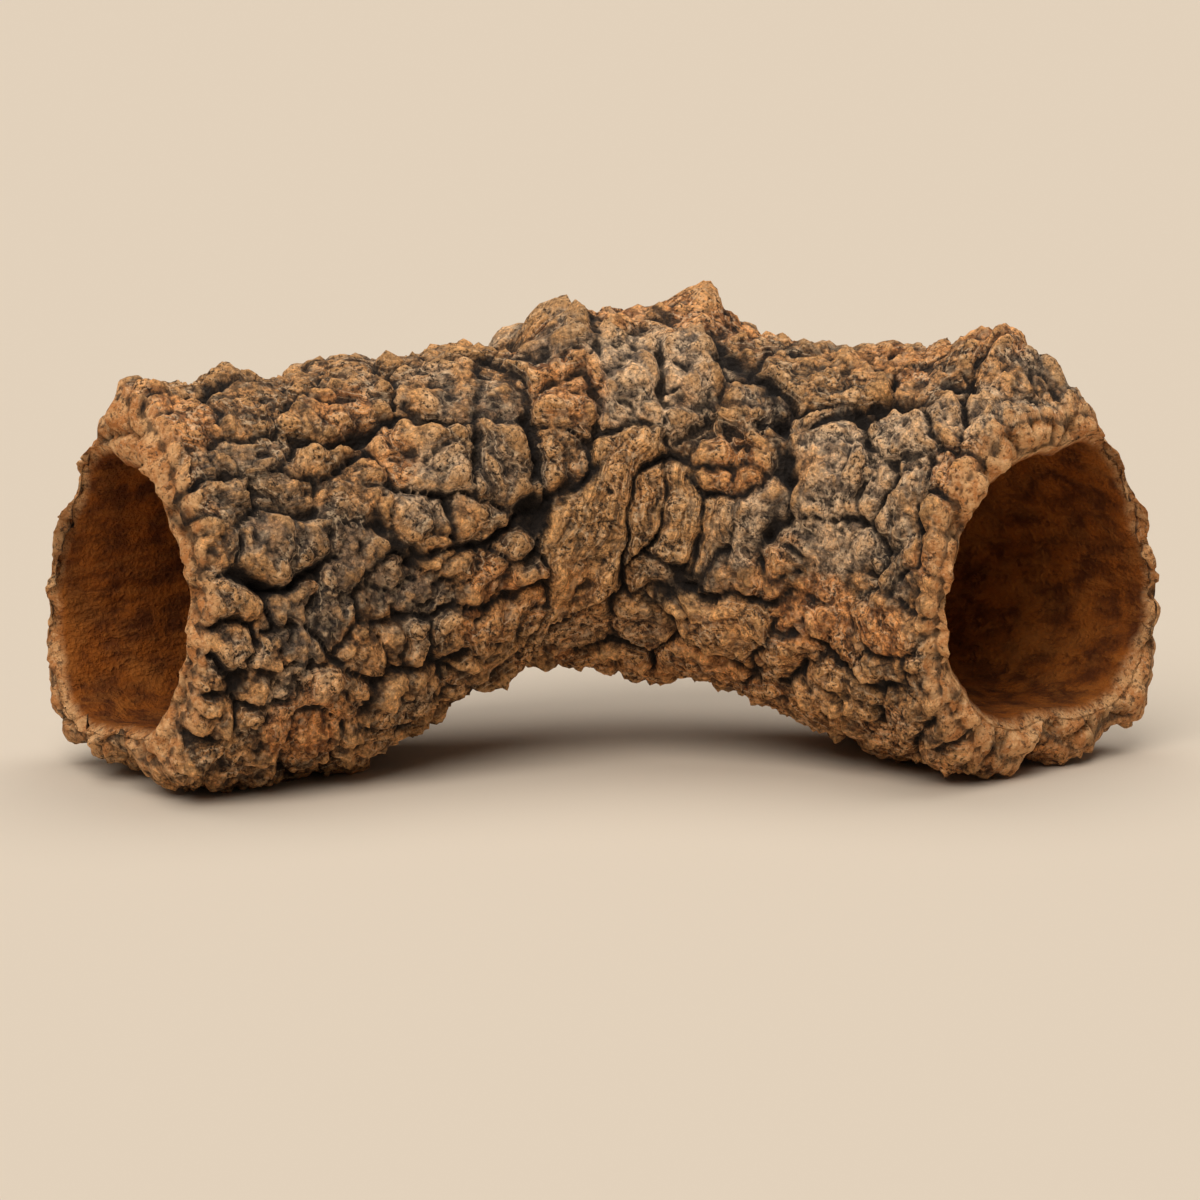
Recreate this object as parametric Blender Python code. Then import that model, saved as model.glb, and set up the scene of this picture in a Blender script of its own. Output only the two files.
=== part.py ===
"""A hollow, bent tube of thick ridged bark, open at both ends, as one closed solid.

Lengths in the tables are millimetres and angles are degrees. A place on the bark is given by
two numbers: the distance along the tube from the middle of its left mouth, and the angle round
the tube, where 0 is the top, 90 the front, 180 the underside and 270 the back.
"""

import itertools
import math

import bpy
import numpy as np

MM = 0.001
NAME = "bark"

# Course and section of the tube. Columns: right, back and up to the middle of the section, half
# of its width, half of its height, how square it is (2 is an ellipse), narrowing of its top.
STATIONS = (
    (-142, 47, 58, 50, 57, 2.5, 0.20),
    (-95, 76, 59, 50, 58, 2.4, 0.12),
    (-45, 104, 75, 50, 51, 2.2, 0.05),
    (12, 118, 81, 51, 52, 2.1, 0.03),
    (62, 109, 70, 52, 55, 2.2, 0.05),
    (104, 89, 60, 54, 58, 2.3, 0.12),
    (134, 63, 57, 56, 57, 2.3, 0.18),
)
# From the middle of the course's own box to the middle of the finished bark's box.
CENTRE = (2.0, 88.0)

# Thickness of the bark every 45 degrees round each mouth, from the top towards the front.
WALL_LEFT = (19, 17, 16, 17, 17, 11, 7, 9)
WALL_BEND = (17, 17, 11, 15, 18, 14, 10, 14)
WALL_RIGHT = (17, 16, 10, 16, 20, 12, 6.5, 8)
# How far the left mouth is cut back from the first station, and the right mouth from the last.
CUT_LEFT = (0, 2, 6, 3, 1, 1, 0, 1)
CUT_RIGHT = (0, 2, 1, 0, 1, 1, 1, 2)
OUTER_ROUNDING = 4.0
INNER_ROUNDING = 3.0

# Broad swellings and hollows: along, round, reach along, reach round, height.
SWELLS = (
    (38, -6, 48, 18, 4.0),
    (68, -4, 8, 14, -2.0),
    (96, -4, 9, 16, 3.0),
    (136, -4, 9, 22, -9.0),
    (155, 0, 14, 24, 5.5),
    (171, 0, 10, 16, 2.5),
    (168, 40, 26, 22, 2.5),
    (184, -8, 10, 14, 13.0),
    (211, -4, 10, 16, 2.5),
    (230, 4, 22, 20, 1.5),
    (256, -6, 20, 18, 7.0),
    (284, -8, 15, 18, 14.0),
    (309, -6, 7, 20, -4.0),
    (150, 172, 34, 16, 5.5),
    (168, 19, 6, 6, -6.0),
    (0, 178, 15, 15, -10.0),
    (0, 200, 14, 12, -6.0),
    (2, 303, 24, 24, -5.5),
    (314, 182, 11, 11, -9.0),
    (311, 228, 14, 14, 7.5),
    (311, 255, 10, 10, 2.5),
    (309, 300, 9, 10, -3.0),
    (0, 284, 9, 10, -3.5),
    (305, 340, 14, 15, 5.5),
    (312, 322, 22, 22, -5.0),
    (251, 56, 16, 16, 2.5),
    (100, 62, 24, 18, 2.5),
    (195, 165, 16, 18, 2.0),
    (88, 158, 20, 16, -1.5),
    # Low swellings at the back of the underside, which steady it
    (72, 202, 23, 16, 13.5),
    (254, 202, 23, 16, 12.5),
)

# Plates read off the photo: along, round, half length, half width, lean of the length from the
# tube's own direction towards the underside, rise, depth of the grain along the plate.
PLATES = (
    # Left arm, from the mouth
    (9, 28, 10, 8, -40, 1.0, 0.3),
    (33, 24, 9, 6, -50, 1.5, 0.2),
    (57, 12, 13, 9, -50, 1.0, 0.2),
    (66, 28, 10, 7, 0, 2.5, 0.3),
    (28, 38, 9, 6, 5, 0.5, 0.6),
    (11, 42, 9, 6, 5, 1.0, 0.6),
    (56, 45, 12, 5, 10, 1.0, 0.6),
    (13, 54, 10, 7, -10, 1.5, 0.6),
    (64, 55, 10, 8, -25, 2.0, 0.2),
    (36, 54, 8, 6, 0, 0.5, 0.6),
    (12, 70, 5, 4, -40, 1.5, 0.0),
    (31, 70, 13, 8, 3, 3.0, 0.2),
    (54, 76, 9, 8, 8, 1.5, 0.2),
    (17, 88, 8, 6, 5, 1.5, 0.1),
    (33, 87, 6, 5, 8, 2.5, 0.0),
    (14, 103, 7, 6, 20, 3.0, 0.0),
    (24, 104, 7, 5, 10, 3.0, 0.0),
    (34, 104, 6, 5, 15, 2.5, 0.0),
    (45, 95, 7, 6, 20, 1.0, 0.0),
    (54, 109, 7, 6, 60, 2.5, 0.0),
    (6, 113, 7, 5, 10, 0.0, 0.0),
    (25, 116, 9, 5, 10, 0.0, 0.1),
    (46, 121, 10, 7, 25, 1.0, 0.1),
    (9, 126, 9, 7, 35, 1.0, 0.0),
    (26, 128, 9, 7, 38, 1.5, 0.0),
    (40, 134, 8, 6, 38, 1.0, 0.0),
    (20, 144, 15, 9, 35, 1.5, 0.1),
    (40, 146, 11, 6, 40, 0.5, 0.1),
    (64, 93, 9, 8, 80, -0.5, 0.1),
    # Big lobe of the left arm and the strip above it
    (95, 56, 15, 11, 5, 3.5, 0.4),
    (117, 68, 14, 10, -70, 3.5, 0.4),
    (82, 72, 10, 8, 10, 2.5, 0.2),
    (105, 80, 12, 6, 10, 2.5, 0.2),
    (110, 30, 14, 12, -50, 1.0, 0.3),
    (88, 24, 13, 9, 0, 1.5, 0.2),
    (126, 42, 11, 9, -60, 0.0, 0.2),
    # Under that lobe
    (112, 94, 6, 5, 75, 2.0, 0.0),
    (99, 98, 8, 5, 10, 1.5, 0.1),
    (113, 106, 7, 6, 40, 1.5, 0.0),
    (88, 104, 8, 4, 25, 0.5, 0.1),
    (84, 115, 9, 6, 30, 1.0, 0.3),
    (66, 108, 9, 6, 30, 0.5, 0.1),
    (106, 123, 15, 9, -30, 0.5, 0.8),
    (64, 132, 12, 7, 30, 1.0, 0.3),
    (84, 140, 12, 7, 0, 0.0, 0.4),
    # Hump of the elbow
    (144, 28, 19, 11, -78, 3.0, 0.3),
    (144, 54, 10, 8, -75, 2.0, 0.2),
    (137, 70, 9, 7, -75, 1.0, 0.1),
    (166, 46, 16, 12, -87, 3.5, 0.1),
    (185, 40, 17, 11, 82, 3.5, 0.1),
    (207, 47, 9, 8, 70, 3.0, 0.1),
    (217, 58, 8, 7, 30, 2.5, 0.1),
    (203, 63, 9, 7, -20, 1.0, 0.2),
    (208, 72, 9, 6, -20, 0.5, 0.4),
    # Long fibrous slab across the elbow, and the wedges beside it
    (151, 97, 32, 9, -63, 3.5, 1.6),
    (172, 93, 14, 6, -80, 2.0, 1.2),
    (193, 96, 21, 7, 84, 1.0, 1.4),
    (209, 86, 13, 6, 75, 0.5, 1.0),
    (226, 77, 11, 5, -88, 2.0, 0.3),
    (222, 98, 8, 7, -45, 0.5, 0.2),
    (235, 91, 7, 5, -20, 1.5, 0.1),
    (191, 110, 8, 7, -55, 0.5, 0.4),
    (221, 121, 20, 9, 3, 2.0, 1.4),
    (178, 134, 14, 9, -30, 0.0, 0.8),
    (147, 140, 12, 8, -50, 0.5, 0.8),
    # Right arm
    (195, 20, 12, 7, 80, -0.5, 0.2),
    (231, 27, 20, 10, 5, 2.5, 0.8),
    (251, 54, 15, 13, 40, 3.0, 0.2),
    (268, 40, 12, 9, 10, 2.5, 0.2),
    (274, 57, 11, 9, 30, 2.5, 0.2),
    (291, 64, 18, 7, 70, 2.5, 0.5),
    (291, 30, 11, 7, 40, 2.0, 0.6),
    (306, 30, 14, 8, 42, 2.5, 0.7),
    (310, 49, 11, 8, 8, 2.0, 0.2),
    (312, 68, 12, 7, 65, 1.5, 0.2),
    (307, 85, 8, 5, -10, 1.0, 0.1),
    (294, 99, 9, 8, -20, 3.0, 0.1),
    (250, 81, 13, 6, -14, 1.5, 0.3),
    (276, 77, 10, 5, -12, 1.5, 0.2),
    (259, 93, 10, 7, -20, 1.0, 0.1),
    (252, 108, 10, 8, -40, 0.5, 0.1),
    (271, 109, 8, 6, -75, 0.5, 0.1),
    (292, 113, 9, 5, -18, 1.0, 0.3),
    (309, 111, 8, 6, -37, 0.5, 0.1),
    (269, 126, 13, 8, 5, 2.0, 1.0),
    (244, 125, 10, 7, -18, 1.5, 1.0),
    (299, 127, 12, 7, -30, 1.0, 0.5),
    (311, 134, 11, 7, -36, 1.0, 0.1),
    (303, 148, 12, 8, -40, 1.0, 0.2),
    (278, 145, 14, 8, 0, 0.5, 0.6),
)

# Long cracks: half width, depth, then the places the crack passes.
CRACKS = (
    (3.0, 9, ((11, 74), (20, 81), (30, 82), (41, 79), (46, 74))),
    (2.8, 8, ((40, 37), (57, 39), (73, 40), (86, 38), (97, 42))),
    (3.2, 8, ((66, 66), (72, 80), (90, 86), (108, 89), (120, 87), (133, 88))),
    (3.0, 8, ((133, 50), (129, 62), (126, 76), (123, 90))),
    (4.2, 10, ((186, 14), (197, 28), (210, 37), (222, 49), (231, 65), (231, 80), (227, 92))),
    (3.6, 8, ((232, 47), (243, 42), (255, 35), (270, 28), (281, 18), (292, 13))),
    (2.0, 6, ((293, 52), (299, 60), (304, 70), (307, 78), (299, 82))),
    (2.4, 5, ((3, 99), (9, 108), (19, 111), (30, 109), (40, 107))),
    (2.6, 7, ((168, 68), (149, 78), (132, 83), (122, 92))),
    (2.4, 6, ((181, 82), (177, 100), (164, 120), (152, 140))),
    (2.6, 6, ((62, 100), (78, 104), (95, 108), (112, 114), (126, 112))),
    (2.6, 6, ((238, 112), (256, 113), (270, 117), (284, 121), (297, 119), (306, 121))),
    (2.4, 6, ((200, 108), (212, 110), (226, 109), (240, 102))),
    (2.4, 5, ((300, 38), (304, 44), (299, 50))),
)

FILL_SPACING = 21.0
FILL_SEED = 11
PLATE_EDGE = 4.5
PLATE_DEPTH = 3.7
NODULE = 12.0
NODULE_HEIGHT = 3.8
SMALL_NODULE = 6.0
SMALL_NODULE_HEIGHT = 1.5
RIM_LUMP = 17.0
RIM_LUMP_HEIGHT = 7.0
RIM_NOTCH = 4.0

# Fineness of the first mesh, and the triangles that the finished one keeps.
OUTER_ROWS = 216
INNER_ROWS = 90
RIM_ROWS = 10
COLUMNS = 236
TRIANGLES = 11600

CRUST_COLOUR = (0.17, 0.098, 0.055, 1.0)
CRUST_ROUGHNESS = 0.92

HASH_SIZE = 4096
HASH = np.random.default_rng(3).permutation(HASH_SIZE)
DIRECTIONS = np.random.default_rng(4).normal(size=(HASH_SIZE, 3))
DIRECTIONS /= np.linalg.norm(DIRECTIONS, axis=1)[:, None]


def hashed(cell, seed):
    """One fixed random index for each whole-number cell."""
    first = HASH[(cell[:, 0] + seed * 131) % HASH_SIZE]
    second = HASH[(first + cell[:, 1]) % HASH_SIZE]
    return HASH[(second + cell[:, 2]) % HASH_SIZE]


def noise(points, wavelength, seed):
    """Smooth random values from about -1 to 1."""
    scaled = points / wavelength
    cell = np.floor(scaled).astype(int)
    within = scaled - cell
    ease = within**3 * (within * (within * 6 - 15) + 10)
    total = np.zeros(len(points))
    for corner in itertools.product((0, 1), repeat=3):
        slope = DIRECTIONS[hashed(cell + corner, seed)]
        value = ((within - corner) * slope).sum(axis=1)
        weight = np.prod(np.where(corner, ease, 1 - ease), axis=1)
        total += weight * value
    return total * 1.7


def nodules(points, size, seed):
    """Rounded lumps about `size` across, from 0 in the seams between them to 1 on top."""
    scaled = points / size
    cell = np.floor(scaled).astype(int)
    nearest = np.full(len(points), 9.0)
    second = np.full(len(points), 9.0)
    for offset in itertools.product((-1, 0, 1), repeat=3):
        corner = cell + offset
        middle = corner + 0.5 + 0.45 * DIRECTIONS[hashed(corner, seed)]
        distance = np.linalg.norm(scaled - middle, axis=1)
        second = np.minimum(second, np.maximum(nearest, distance))
        nearest = np.minimum(nearest, distance)
    return rounded(second - nearest, 0.7) * (1 - 0.5 * np.clip(nearest, 0, 1) ** 2)


def rounded(distance, reach):
    """A quarter circle: 0 at distance 0, 1 from `reach` on."""
    inward = 1 - np.clip(distance / reach, 0, 1)
    return np.sqrt(1 - inward**2)


def natural_spline(knots, values, at):
    """Natural cubic spline through the rows of `values`."""
    count = len(knots)
    step = np.diff(knots)
    matrix = np.zeros((count, count))
    right = np.zeros((count, values.shape[1]))
    matrix[0, 0] = 1
    matrix[-1, -1] = 1
    for i in range(1, count - 1):
        matrix[i, i - 1] = step[i - 1]
        matrix[i, i] = 2 * (step[i - 1] + step[i])
        matrix[i, i + 1] = step[i]
        rise_after = (values[i + 1] - values[i]) / step[i]
        rise_before = (values[i] - values[i - 1]) / step[i - 1]
        right[i] = 6 * (rise_after - rise_before)
    bend = np.linalg.solve(matrix, right)
    k = np.clip(np.searchsorted(knots, at, side="right") - 1, 0, count - 2)
    width = step[k][:, None]
    before = (at - knots[k])[:, None]
    after = (knots[k + 1] - at)[:, None]
    curved = (bend[k] * after**3 + bend[k + 1] * before**3) / (6 * width)
    start = (values[k] / width - bend[k] * width / 6) * after
    end = (values[k + 1] / width - bend[k + 1] * width / 6) * before
    return curved + start + end


STATION_VALUES = np.array(STATIONS, float)
STATION_GAPS = np.linalg.norm(np.diff(STATION_VALUES[:, :3], axis=0), axis=1)
STATION_PLACES = np.concatenate([[0], np.cumsum(STATION_GAPS)])
LENGTH = STATION_PLACES[-1]


def station(along):
    return natural_spline(STATION_PLACES, STATION_VALUES, along)


def unit(vectors):
    return vectors / np.linalg.norm(vectors, axis=1)[:, None]


def tube(along, turn, inward=0.0, outward=0.0):
    """Points of the plain tube, its section shrunk by `inward` and then raised by `outward`."""
    here = station(along)
    forward = unit(station(along + 0.5)[:, :3] - station(along - 0.5)[:, :3])
    up = np.array([0.0, 0.0, 1.0]) - forward[:, 2:3] * forward
    up = unit(up)
    front = np.cross(forward, up)
    half_width = here[:, 3] - inward
    half_height = here[:, 4] - inward
    square = here[:, 5]
    cosine = np.cos(turn)
    sine = np.sin(turn)
    power = np.abs(cosine / half_height) ** square + np.abs(sine / half_width) ** square
    radius = power ** (-1 / square) + outward
    narrowing = here[:, 6] * cosine * np.where(sine < 0, 1.6, 0.5)
    across = radius * sine * (1 - narrowing)
    return here[:, :3] + up * (radius * cosine)[:, None] + front * across[:, None]


def round_table(table, turn):
    """Values listed every 45 degrees, joined smoothly all the way round."""
    values = np.array(table, float)
    place = np.degrees(turn) % 360 / 45
    index = np.floor(place).astype(int) % 8
    part = place - np.floor(place)
    blend = (1 - np.cos(part * math.pi)) / 2
    return values[index] * (1 - blend) + values[(index + 1) % 8] * blend


def wall(along, turn):
    share = np.clip(2 * along / LENGTH, 0, 2)
    left = round_table(WALL_LEFT, turn) * np.clip(1 - share, 0, 1)
    bend = round_table(WALL_BEND, turn) * (1 - np.abs(share - 1))
    right = round_table(WALL_RIGHT, turn) * np.clip(share - 1, 0, 1)
    return left + bend + right


def fill_plates():
    """Places for the plates of the sides that the photo doesn't show, clear of those it does."""
    chance = np.random.default_rng(FILL_SEED)
    shown = np.array(PLATES, float)
    shown_at = tube(shown[:, 0], np.radians(shown[:, 1]))
    reach = np.sqrt(shown[:, 2] * shown[:, 3])
    found = []
    for along in np.arange(2, LENGTH + 4, FILL_SPACING * 0.86):
        for turn in np.arange(0, 360, 360 / 17):
            place = along + chance.uniform(-6, 6)
            angle = turn + chance.uniform(-7, 7)
            half_length = chance.uniform(9, 16)
            half_width = half_length * chance.uniform(0.5, 0.9)
            lean = chance.normal(0, 35)
            rise = chance.uniform(-0.5, 3.0)
            grain = chance.uniform(0.0, 0.8)
            point = tube(np.array([place]), np.radians(np.array([angle])))
            gap = np.linalg.norm(shown_at - point, axis=1)
            if (gap > reach + 7).all():
                found.append((place, angle, half_length, half_width, lean, rise, grain))
    return found


def directions_at(places, turns):
    """Unit vectors along the tube and round it, at some places on the plain tube."""
    ahead = unit(tube(places + 0.5, turns) - tube(places - 0.5, turns))
    round_way = unit(tube(places, turns + 0.01) - tube(places, turns - 0.01))
    return ahead, round_way


def plate_pattern(along, warped):
    """Which plate owns each point, how far its border is, and where on the plate the point lies."""
    plates = np.array(list(PLATES) + fill_plates(), float)
    turns = np.radians(plates[:, 1])
    middles = tube(plates[:, 0], turns)
    ahead, round_way = directions_at(plates[:, 0], turns)
    outward = np.cross(round_way, ahead)
    count = len(warped)
    nearest = np.full(count, 9.0)
    second = np.full(count, 9.0)
    owner = np.zeros(count, int)
    neighbour = np.zeros(count, int)
    length_way = np.zeros(count)
    width_way = np.zeros(count)
    for i, plate in enumerate(plates):
        near = np.flatnonzero(np.abs(along - plate[0]) < 45)
        offset = warped[near] - middles[i]
        lean = math.radians(plate[4])
        long_axis = math.cos(lean) * ahead[i] + math.sin(lean) * round_way[i]
        wide_axis = math.cos(lean) * round_way[i] - math.sin(lean) * ahead[i]
        lengthwise = offset @ long_axis
        widthwise = offset @ wide_axis
        through = offset @ outward[i]
        squared = (lengthwise / plate[2]) ** 2 + (widthwise / plate[3]) ** 2 + (through / 18) ** 2
        distance = np.sqrt(squared)
        closer = distance < nearest[near]
        between = ~closer & (distance < second[near])
        won = near[closer]
        second[won] = nearest[won]
        neighbour[won] = owner[won]
        nearest[won] = distance[closer]
        owner[won] = i
        length_way[won] = lengthwise[closer]
        width_way[won] = widthwise[closer]
        lost = near[between]
        second[lost] = distance[between]
        neighbour[lost] = i
    size = np.sqrt(plates[:, 2] * plates[:, 3])
    border = (second - nearest) / (1 / size[owner] + 1 / size[neighbour])
    return plates, owner, border, length_way, width_way


def plate_height(plates, owner, border, length_way, width_way, warped):
    """Pillow-edged plates, each at its own height and slightly tilted, with its own grain."""
    depth = np.clip(0.6 + 0.75 * noise(warped, 24, 33), 0.15, 1)
    pillow = 1 - depth * (1 - rounded(border, PLATE_EDGE))
    tilt = np.random.default_rng(5).normal(0, 0.06, (len(plates), 2))
    slope = tilt[owner, 0] * length_way + tilt[owner, 1] * width_way
    grain_at = np.stack([length_way / 34, width_way / 4.6, owner * 7.3], axis=1)
    grain = plates[owner, 6] * noise(grain_at, 1.0, 31)
    rise = plates[owner, 5] + np.clip(slope, -2, 2) + grain
    return PLATE_DEPTH * (pillow - 1) + rise * pillow


def swell_height(base):
    height = np.zeros(len(base))
    for place, angle, reach_along, reach_round, rise in SWELLS:
        places = np.array([float(place)])
        turns = np.array([math.radians(angle)])
        middle = tube(places, turns)
        ahead = directions_at(places, turns)[0]
        offset = base - middle
        lengthwise = offset @ ahead[0]
        crosswise = np.linalg.norm(offset - lengthwise[:, None] * ahead, axis=1)
        squared = (lengthwise / reach_along) ** 2 + (crosswise / reach_round) ** 2
        height += rise * np.exp(-squared)
    return height


def crack_height(along, warped):
    """Long grooves with slightly raised lips, fading out at both ends."""
    height = np.zeros(len(warped))
    for half_width, depth, places in CRACKS:
        line = np.array(places, float)
        corners = tube(line[:, 0], np.radians(line[:, 1]))
        lengths = np.linalg.norm(np.diff(corners, axis=0), axis=1)
        starts = np.concatenate([[0], np.cumsum(lengths)])
        reached = (along > line[:, 0].min() - 20) & (along < line[:, 0].max() + 20)
        near = np.flatnonzero(reached)
        gap = np.full(len(near), 99.0)
        passed = np.zeros(len(near))
        for i in range(len(corners) - 1):
            way = corners[i + 1] - corners[i]
            offset = warped[near] - corners[i]
            share = np.clip(offset @ way / (way @ way), 0, 1)
            distance = np.linalg.norm(offset - share[:, None] * way, axis=1)
            closer = distance < gap
            gap[closer] = distance[closer]
            passed[closer] = (starts[i] + share * lengths[i])[closer]
        ends = np.minimum(passed, starts[-1] - passed)
        taper = np.clip((ends + 3) / 9, 0.2, 1)
        groove = 1 - rounded(gap, half_width * 1.5)
        lip = np.exp(-(((gap - half_width * 2.2) / 3) ** 2))
        height[near] += taper * (0.8 * lip - depth * groove)
    return height


def warped_points(base):
    """The points shifted about a little, so that no border runs straight."""
    wide = np.stack([noise(base, 16, seed) for seed in (21, 22, 23)], axis=1)
    narrow = np.stack([noise(base, 6.5, seed) for seed in (24, 25, 26)], axis=1)
    return base + 3.0 * wide + 1.7 * narrow


def lump_height(warped):
    """Knobbly lumps in two sizes, taller in some places than in others."""
    big = 0.9 + 0.5 * noise(warped, 30, 57)
    small = 0.8 + 0.6 * noise(warped, 22, 58)
    height = NODULE_HEIGHT * big * (nodules(warped, NODULE, 51) - 0.55)
    return height + SMALL_NODULE_HEIGHT * small * (nodules(warped, SMALL_NODULE, 52) - 0.55)


def crumble_height(warped):
    """Rounded crumbs with sharp creases between them."""
    coarse = np.abs(noise(warped, 11, 43)) - 0.28
    middling = np.abs(noise(warped, 5.5, 44)) - 0.28
    return 2.8 * coarse + 1.2 * middling


def coarse_relief(along, base):
    """Height of the crust over the plain tube, and the patterns that it is made of."""
    warped = warped_points(base)
    pattern = plate_pattern(along, warped)
    swell = swell_height(base)
    crack = crack_height(along, warped)
    height = plate_height(*pattern, warped) + swell + crack
    height += 1.6 * noise(base, 42, 41) + 1.1 * noise(base, 19, 42) - 0.8
    height += lump_height(warped) + crumble_height(warped)
    return height, swell, crack, warped, pattern


def relief(along, turn, base):
    height = coarse_relief(along, base)[0]
    thin = np.clip(wall(along, turn) / 16, 0.6, 1)
    return np.clip(height * thin, -10, 20)


def notches(base, to_mouth):
    """Grooves that run over a mouth's outer edge, between the lumps of its rim."""
    groove = (1 - nodules(base, RIM_LUMP, 85)) ** 1.5
    return -RIM_NOTCH * groove * np.exp(-np.maximum(to_mouth, 0) / 8)


def mouth_places(turn):
    """Where the tube starts and ends at each angle round it."""
    start = round_table(CUT_LEFT, turn)
    end = LENGTH - round_table(CUT_RIGHT, turn)
    left_edge = tube(np.zeros(len(turn)), turn)
    right_edge = tube(np.full(len(turn), LENGTH), turn)
    start += 1.2 * noise(left_edge, 16, 61) + 0.8 * noise(left_edge, 7, 62)
    end += 1.2 * noise(right_edge, 16, 63) + 0.8 * noise(right_edge, 7, 64)
    return start, end


def outer_points(along, turn):
    base = tube(along, turn)
    height = relief(along, turn, base)
    start, end = mouth_places(turn)
    to_mouth = np.minimum(along - start, end - along)
    height -= OUTER_ROUNDING * (1 - rounded(to_mouth, OUTER_ROUNDING))
    height += notches(base, to_mouth)
    return tube(along, turn, outward=height)


def inner_points(along, turn):
    thickness = wall(along, turn)
    base = tube(along, turn, inward=thickness)
    waves = 1.3 * noise(base, 38, 71) + 0.9 * noise(base, 17, 72)
    start, end = mouth_places(turn)
    to_mouth = np.minimum(along - start, end - along)
    waves += INNER_ROUNDING * (1 - rounded(to_mouth, INNER_ROUNDING))
    return tube(along, turn, inward=thickness, outward=waves)


def eased(count):
    """Shares from 0 to 1, closer together near both ends."""
    share = np.linspace(0, 1, count)
    return share - 0.06 * np.sin(share * 2 * math.pi)


def bark_grid():
    """Closed rows of points: the outside left to right, the right rim, the inside, the left rim."""
    turn = np.arange(COLUMNS) * 2 * math.pi / COLUMNS
    start, end = mouth_places(turn)
    rows = []
    for share in eased(OUTER_ROWS):
        rows.append((start + share * (end - start), "outer"))
    for share in eased(INNER_ROWS)[::-1]:
        rows.append((start + share * (end - start), "inner"))
    grid = np.zeros((len(rows), COLUMNS, 3))
    for kind, points_of in (("outer", outer_points), ("inner", inner_points)):
        index = [i for i, row in enumerate(rows) if row[1] == kind]
        along = np.concatenate([rows[i][0] for i in index])
        turns = np.tile(turn, len(index))
        grid[index] = points_of(along, turns).reshape(len(index), COLUMNS, 3)
    right_rim = rim_rows(grid[OUTER_ROWS - 1], grid[OUTER_ROWS], turn, LENGTH, 1)
    left_rim = rim_rows(grid[-1], grid[0], turn, 0, -1)
    return np.concatenate([grid[:OUTER_ROWS], right_rim, grid[OUTER_ROWS:], left_rim])


def rim_rows(first, last, turn, place, side):
    """The broken face between the outside and the inside of a mouth, a row of rounded lumps."""
    ahead = directions_at(np.array([float(place)]), turn[:1])[0]
    rows = []
    for share in np.linspace(0, 1, RIM_ROWS + 2)[1:-1]:
        points = first * (1 - share) + last * share
        arch = math.sin(share * math.pi)
        lumps = nodules(points, RIM_LUMP, 85) - 0.35
        bulge = arch * (RIM_LUMP_HEIGHT * lumps + 0.8 * noise(points, 7, 81))
        rows.append(points + side * bulge[:, None] * ahead)
    return np.array(rows)


def grid_faces(rows, columns):
    row, column = np.meshgrid(np.arange(rows), np.arange(columns), indexing="ij")
    next_row = (row + 1) % rows
    next_column = (column + 1) % columns
    corners = (
        row * columns + column,
        row * columns + next_column,
        next_row * columns + next_column,
        next_row * columns + column,
    )
    return np.stack(corners, axis=-1).reshape(-1, 4)


def clear_scene():
    for obj in list(bpy.data.objects):
        bpy.data.objects.remove(obj)


def make_material():
    material = bpy.data.materials.new("bark crust")
    material.use_nodes = True
    shader = material.node_tree.nodes["Principled BSDF"]
    shader.inputs["Base Color"].default_value = CRUST_COLOUR
    shader.inputs["Roughness"].default_value = CRUST_ROUGHNESS
    shader.inputs["Metallic"].default_value = 0.0
    material.diffuse_color = CRUST_COLOUR
    return material


def thinned(mesh, triangles):
    """The same shape with fewer triangles, kept where the relief is sharp."""
    source = bpy.data.objects.new("fine bark", mesh)
    bpy.context.scene.collection.objects.link(source)
    triangulate = source.modifiers.new("Triangles", "TRIANGULATE")
    triangulate.quad_method = "SHORTEST_DIAGONAL"
    decimate = source.modifiers.new("Thin out", "DECIMATE")
    decimate.ratio = triangles / (2 * len(mesh.polygons))
    graph = bpy.context.evaluated_depsgraph_get()
    result = bpy.data.meshes.new_from_object(source.evaluated_get(graph))
    bpy.data.objects.remove(source)
    return result


def build_bark():
    grid = bark_grid()
    points = grid.reshape(-1, 3) - np.array([CENTRE[0], CENTRE[1], 0.0])
    faces = grid_faces(grid.shape[0], grid.shape[1])
    fine = bpy.data.meshes.new("fine bark")
    fine.from_pydata((points * MM).tolist(), [], faces.tolist())
    mesh = thinned(fine, TRIANGLES)
    mesh.name = NAME
    # The lumps that reach under the ground line are worn flat: they are what the bark rests on.
    for vertex in mesh.vertices:
        vertex.co.z = max(vertex.co.z, 0.0)
    mesh.materials.clear()
    mesh.materials.append(make_material())
    bark = bpy.data.objects.new(NAME, mesh)
    collection = bpy.data.collections.new("piece of bark")
    bpy.context.scene.collection.children.link(collection)
    collection.objects.link(bark)
    return bark


def main():
    clear_scene()
    build_bark()


main()
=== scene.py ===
"""Looks of a hollow, bent tube of thick ridged bark: its crust, cut rims, inside and light.

The course of the tube and its large forms are the same named values as in the part's source.
Lengths in the tables are millimetres and angles are degrees. A place on the bark is given by
two numbers: the distance along the tube from the middle of its left mouth, and the angle round
the tube, where 0 is the top, 90 the front, 180 the underside and 270 the back.
"""

import itertools
import math

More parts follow.
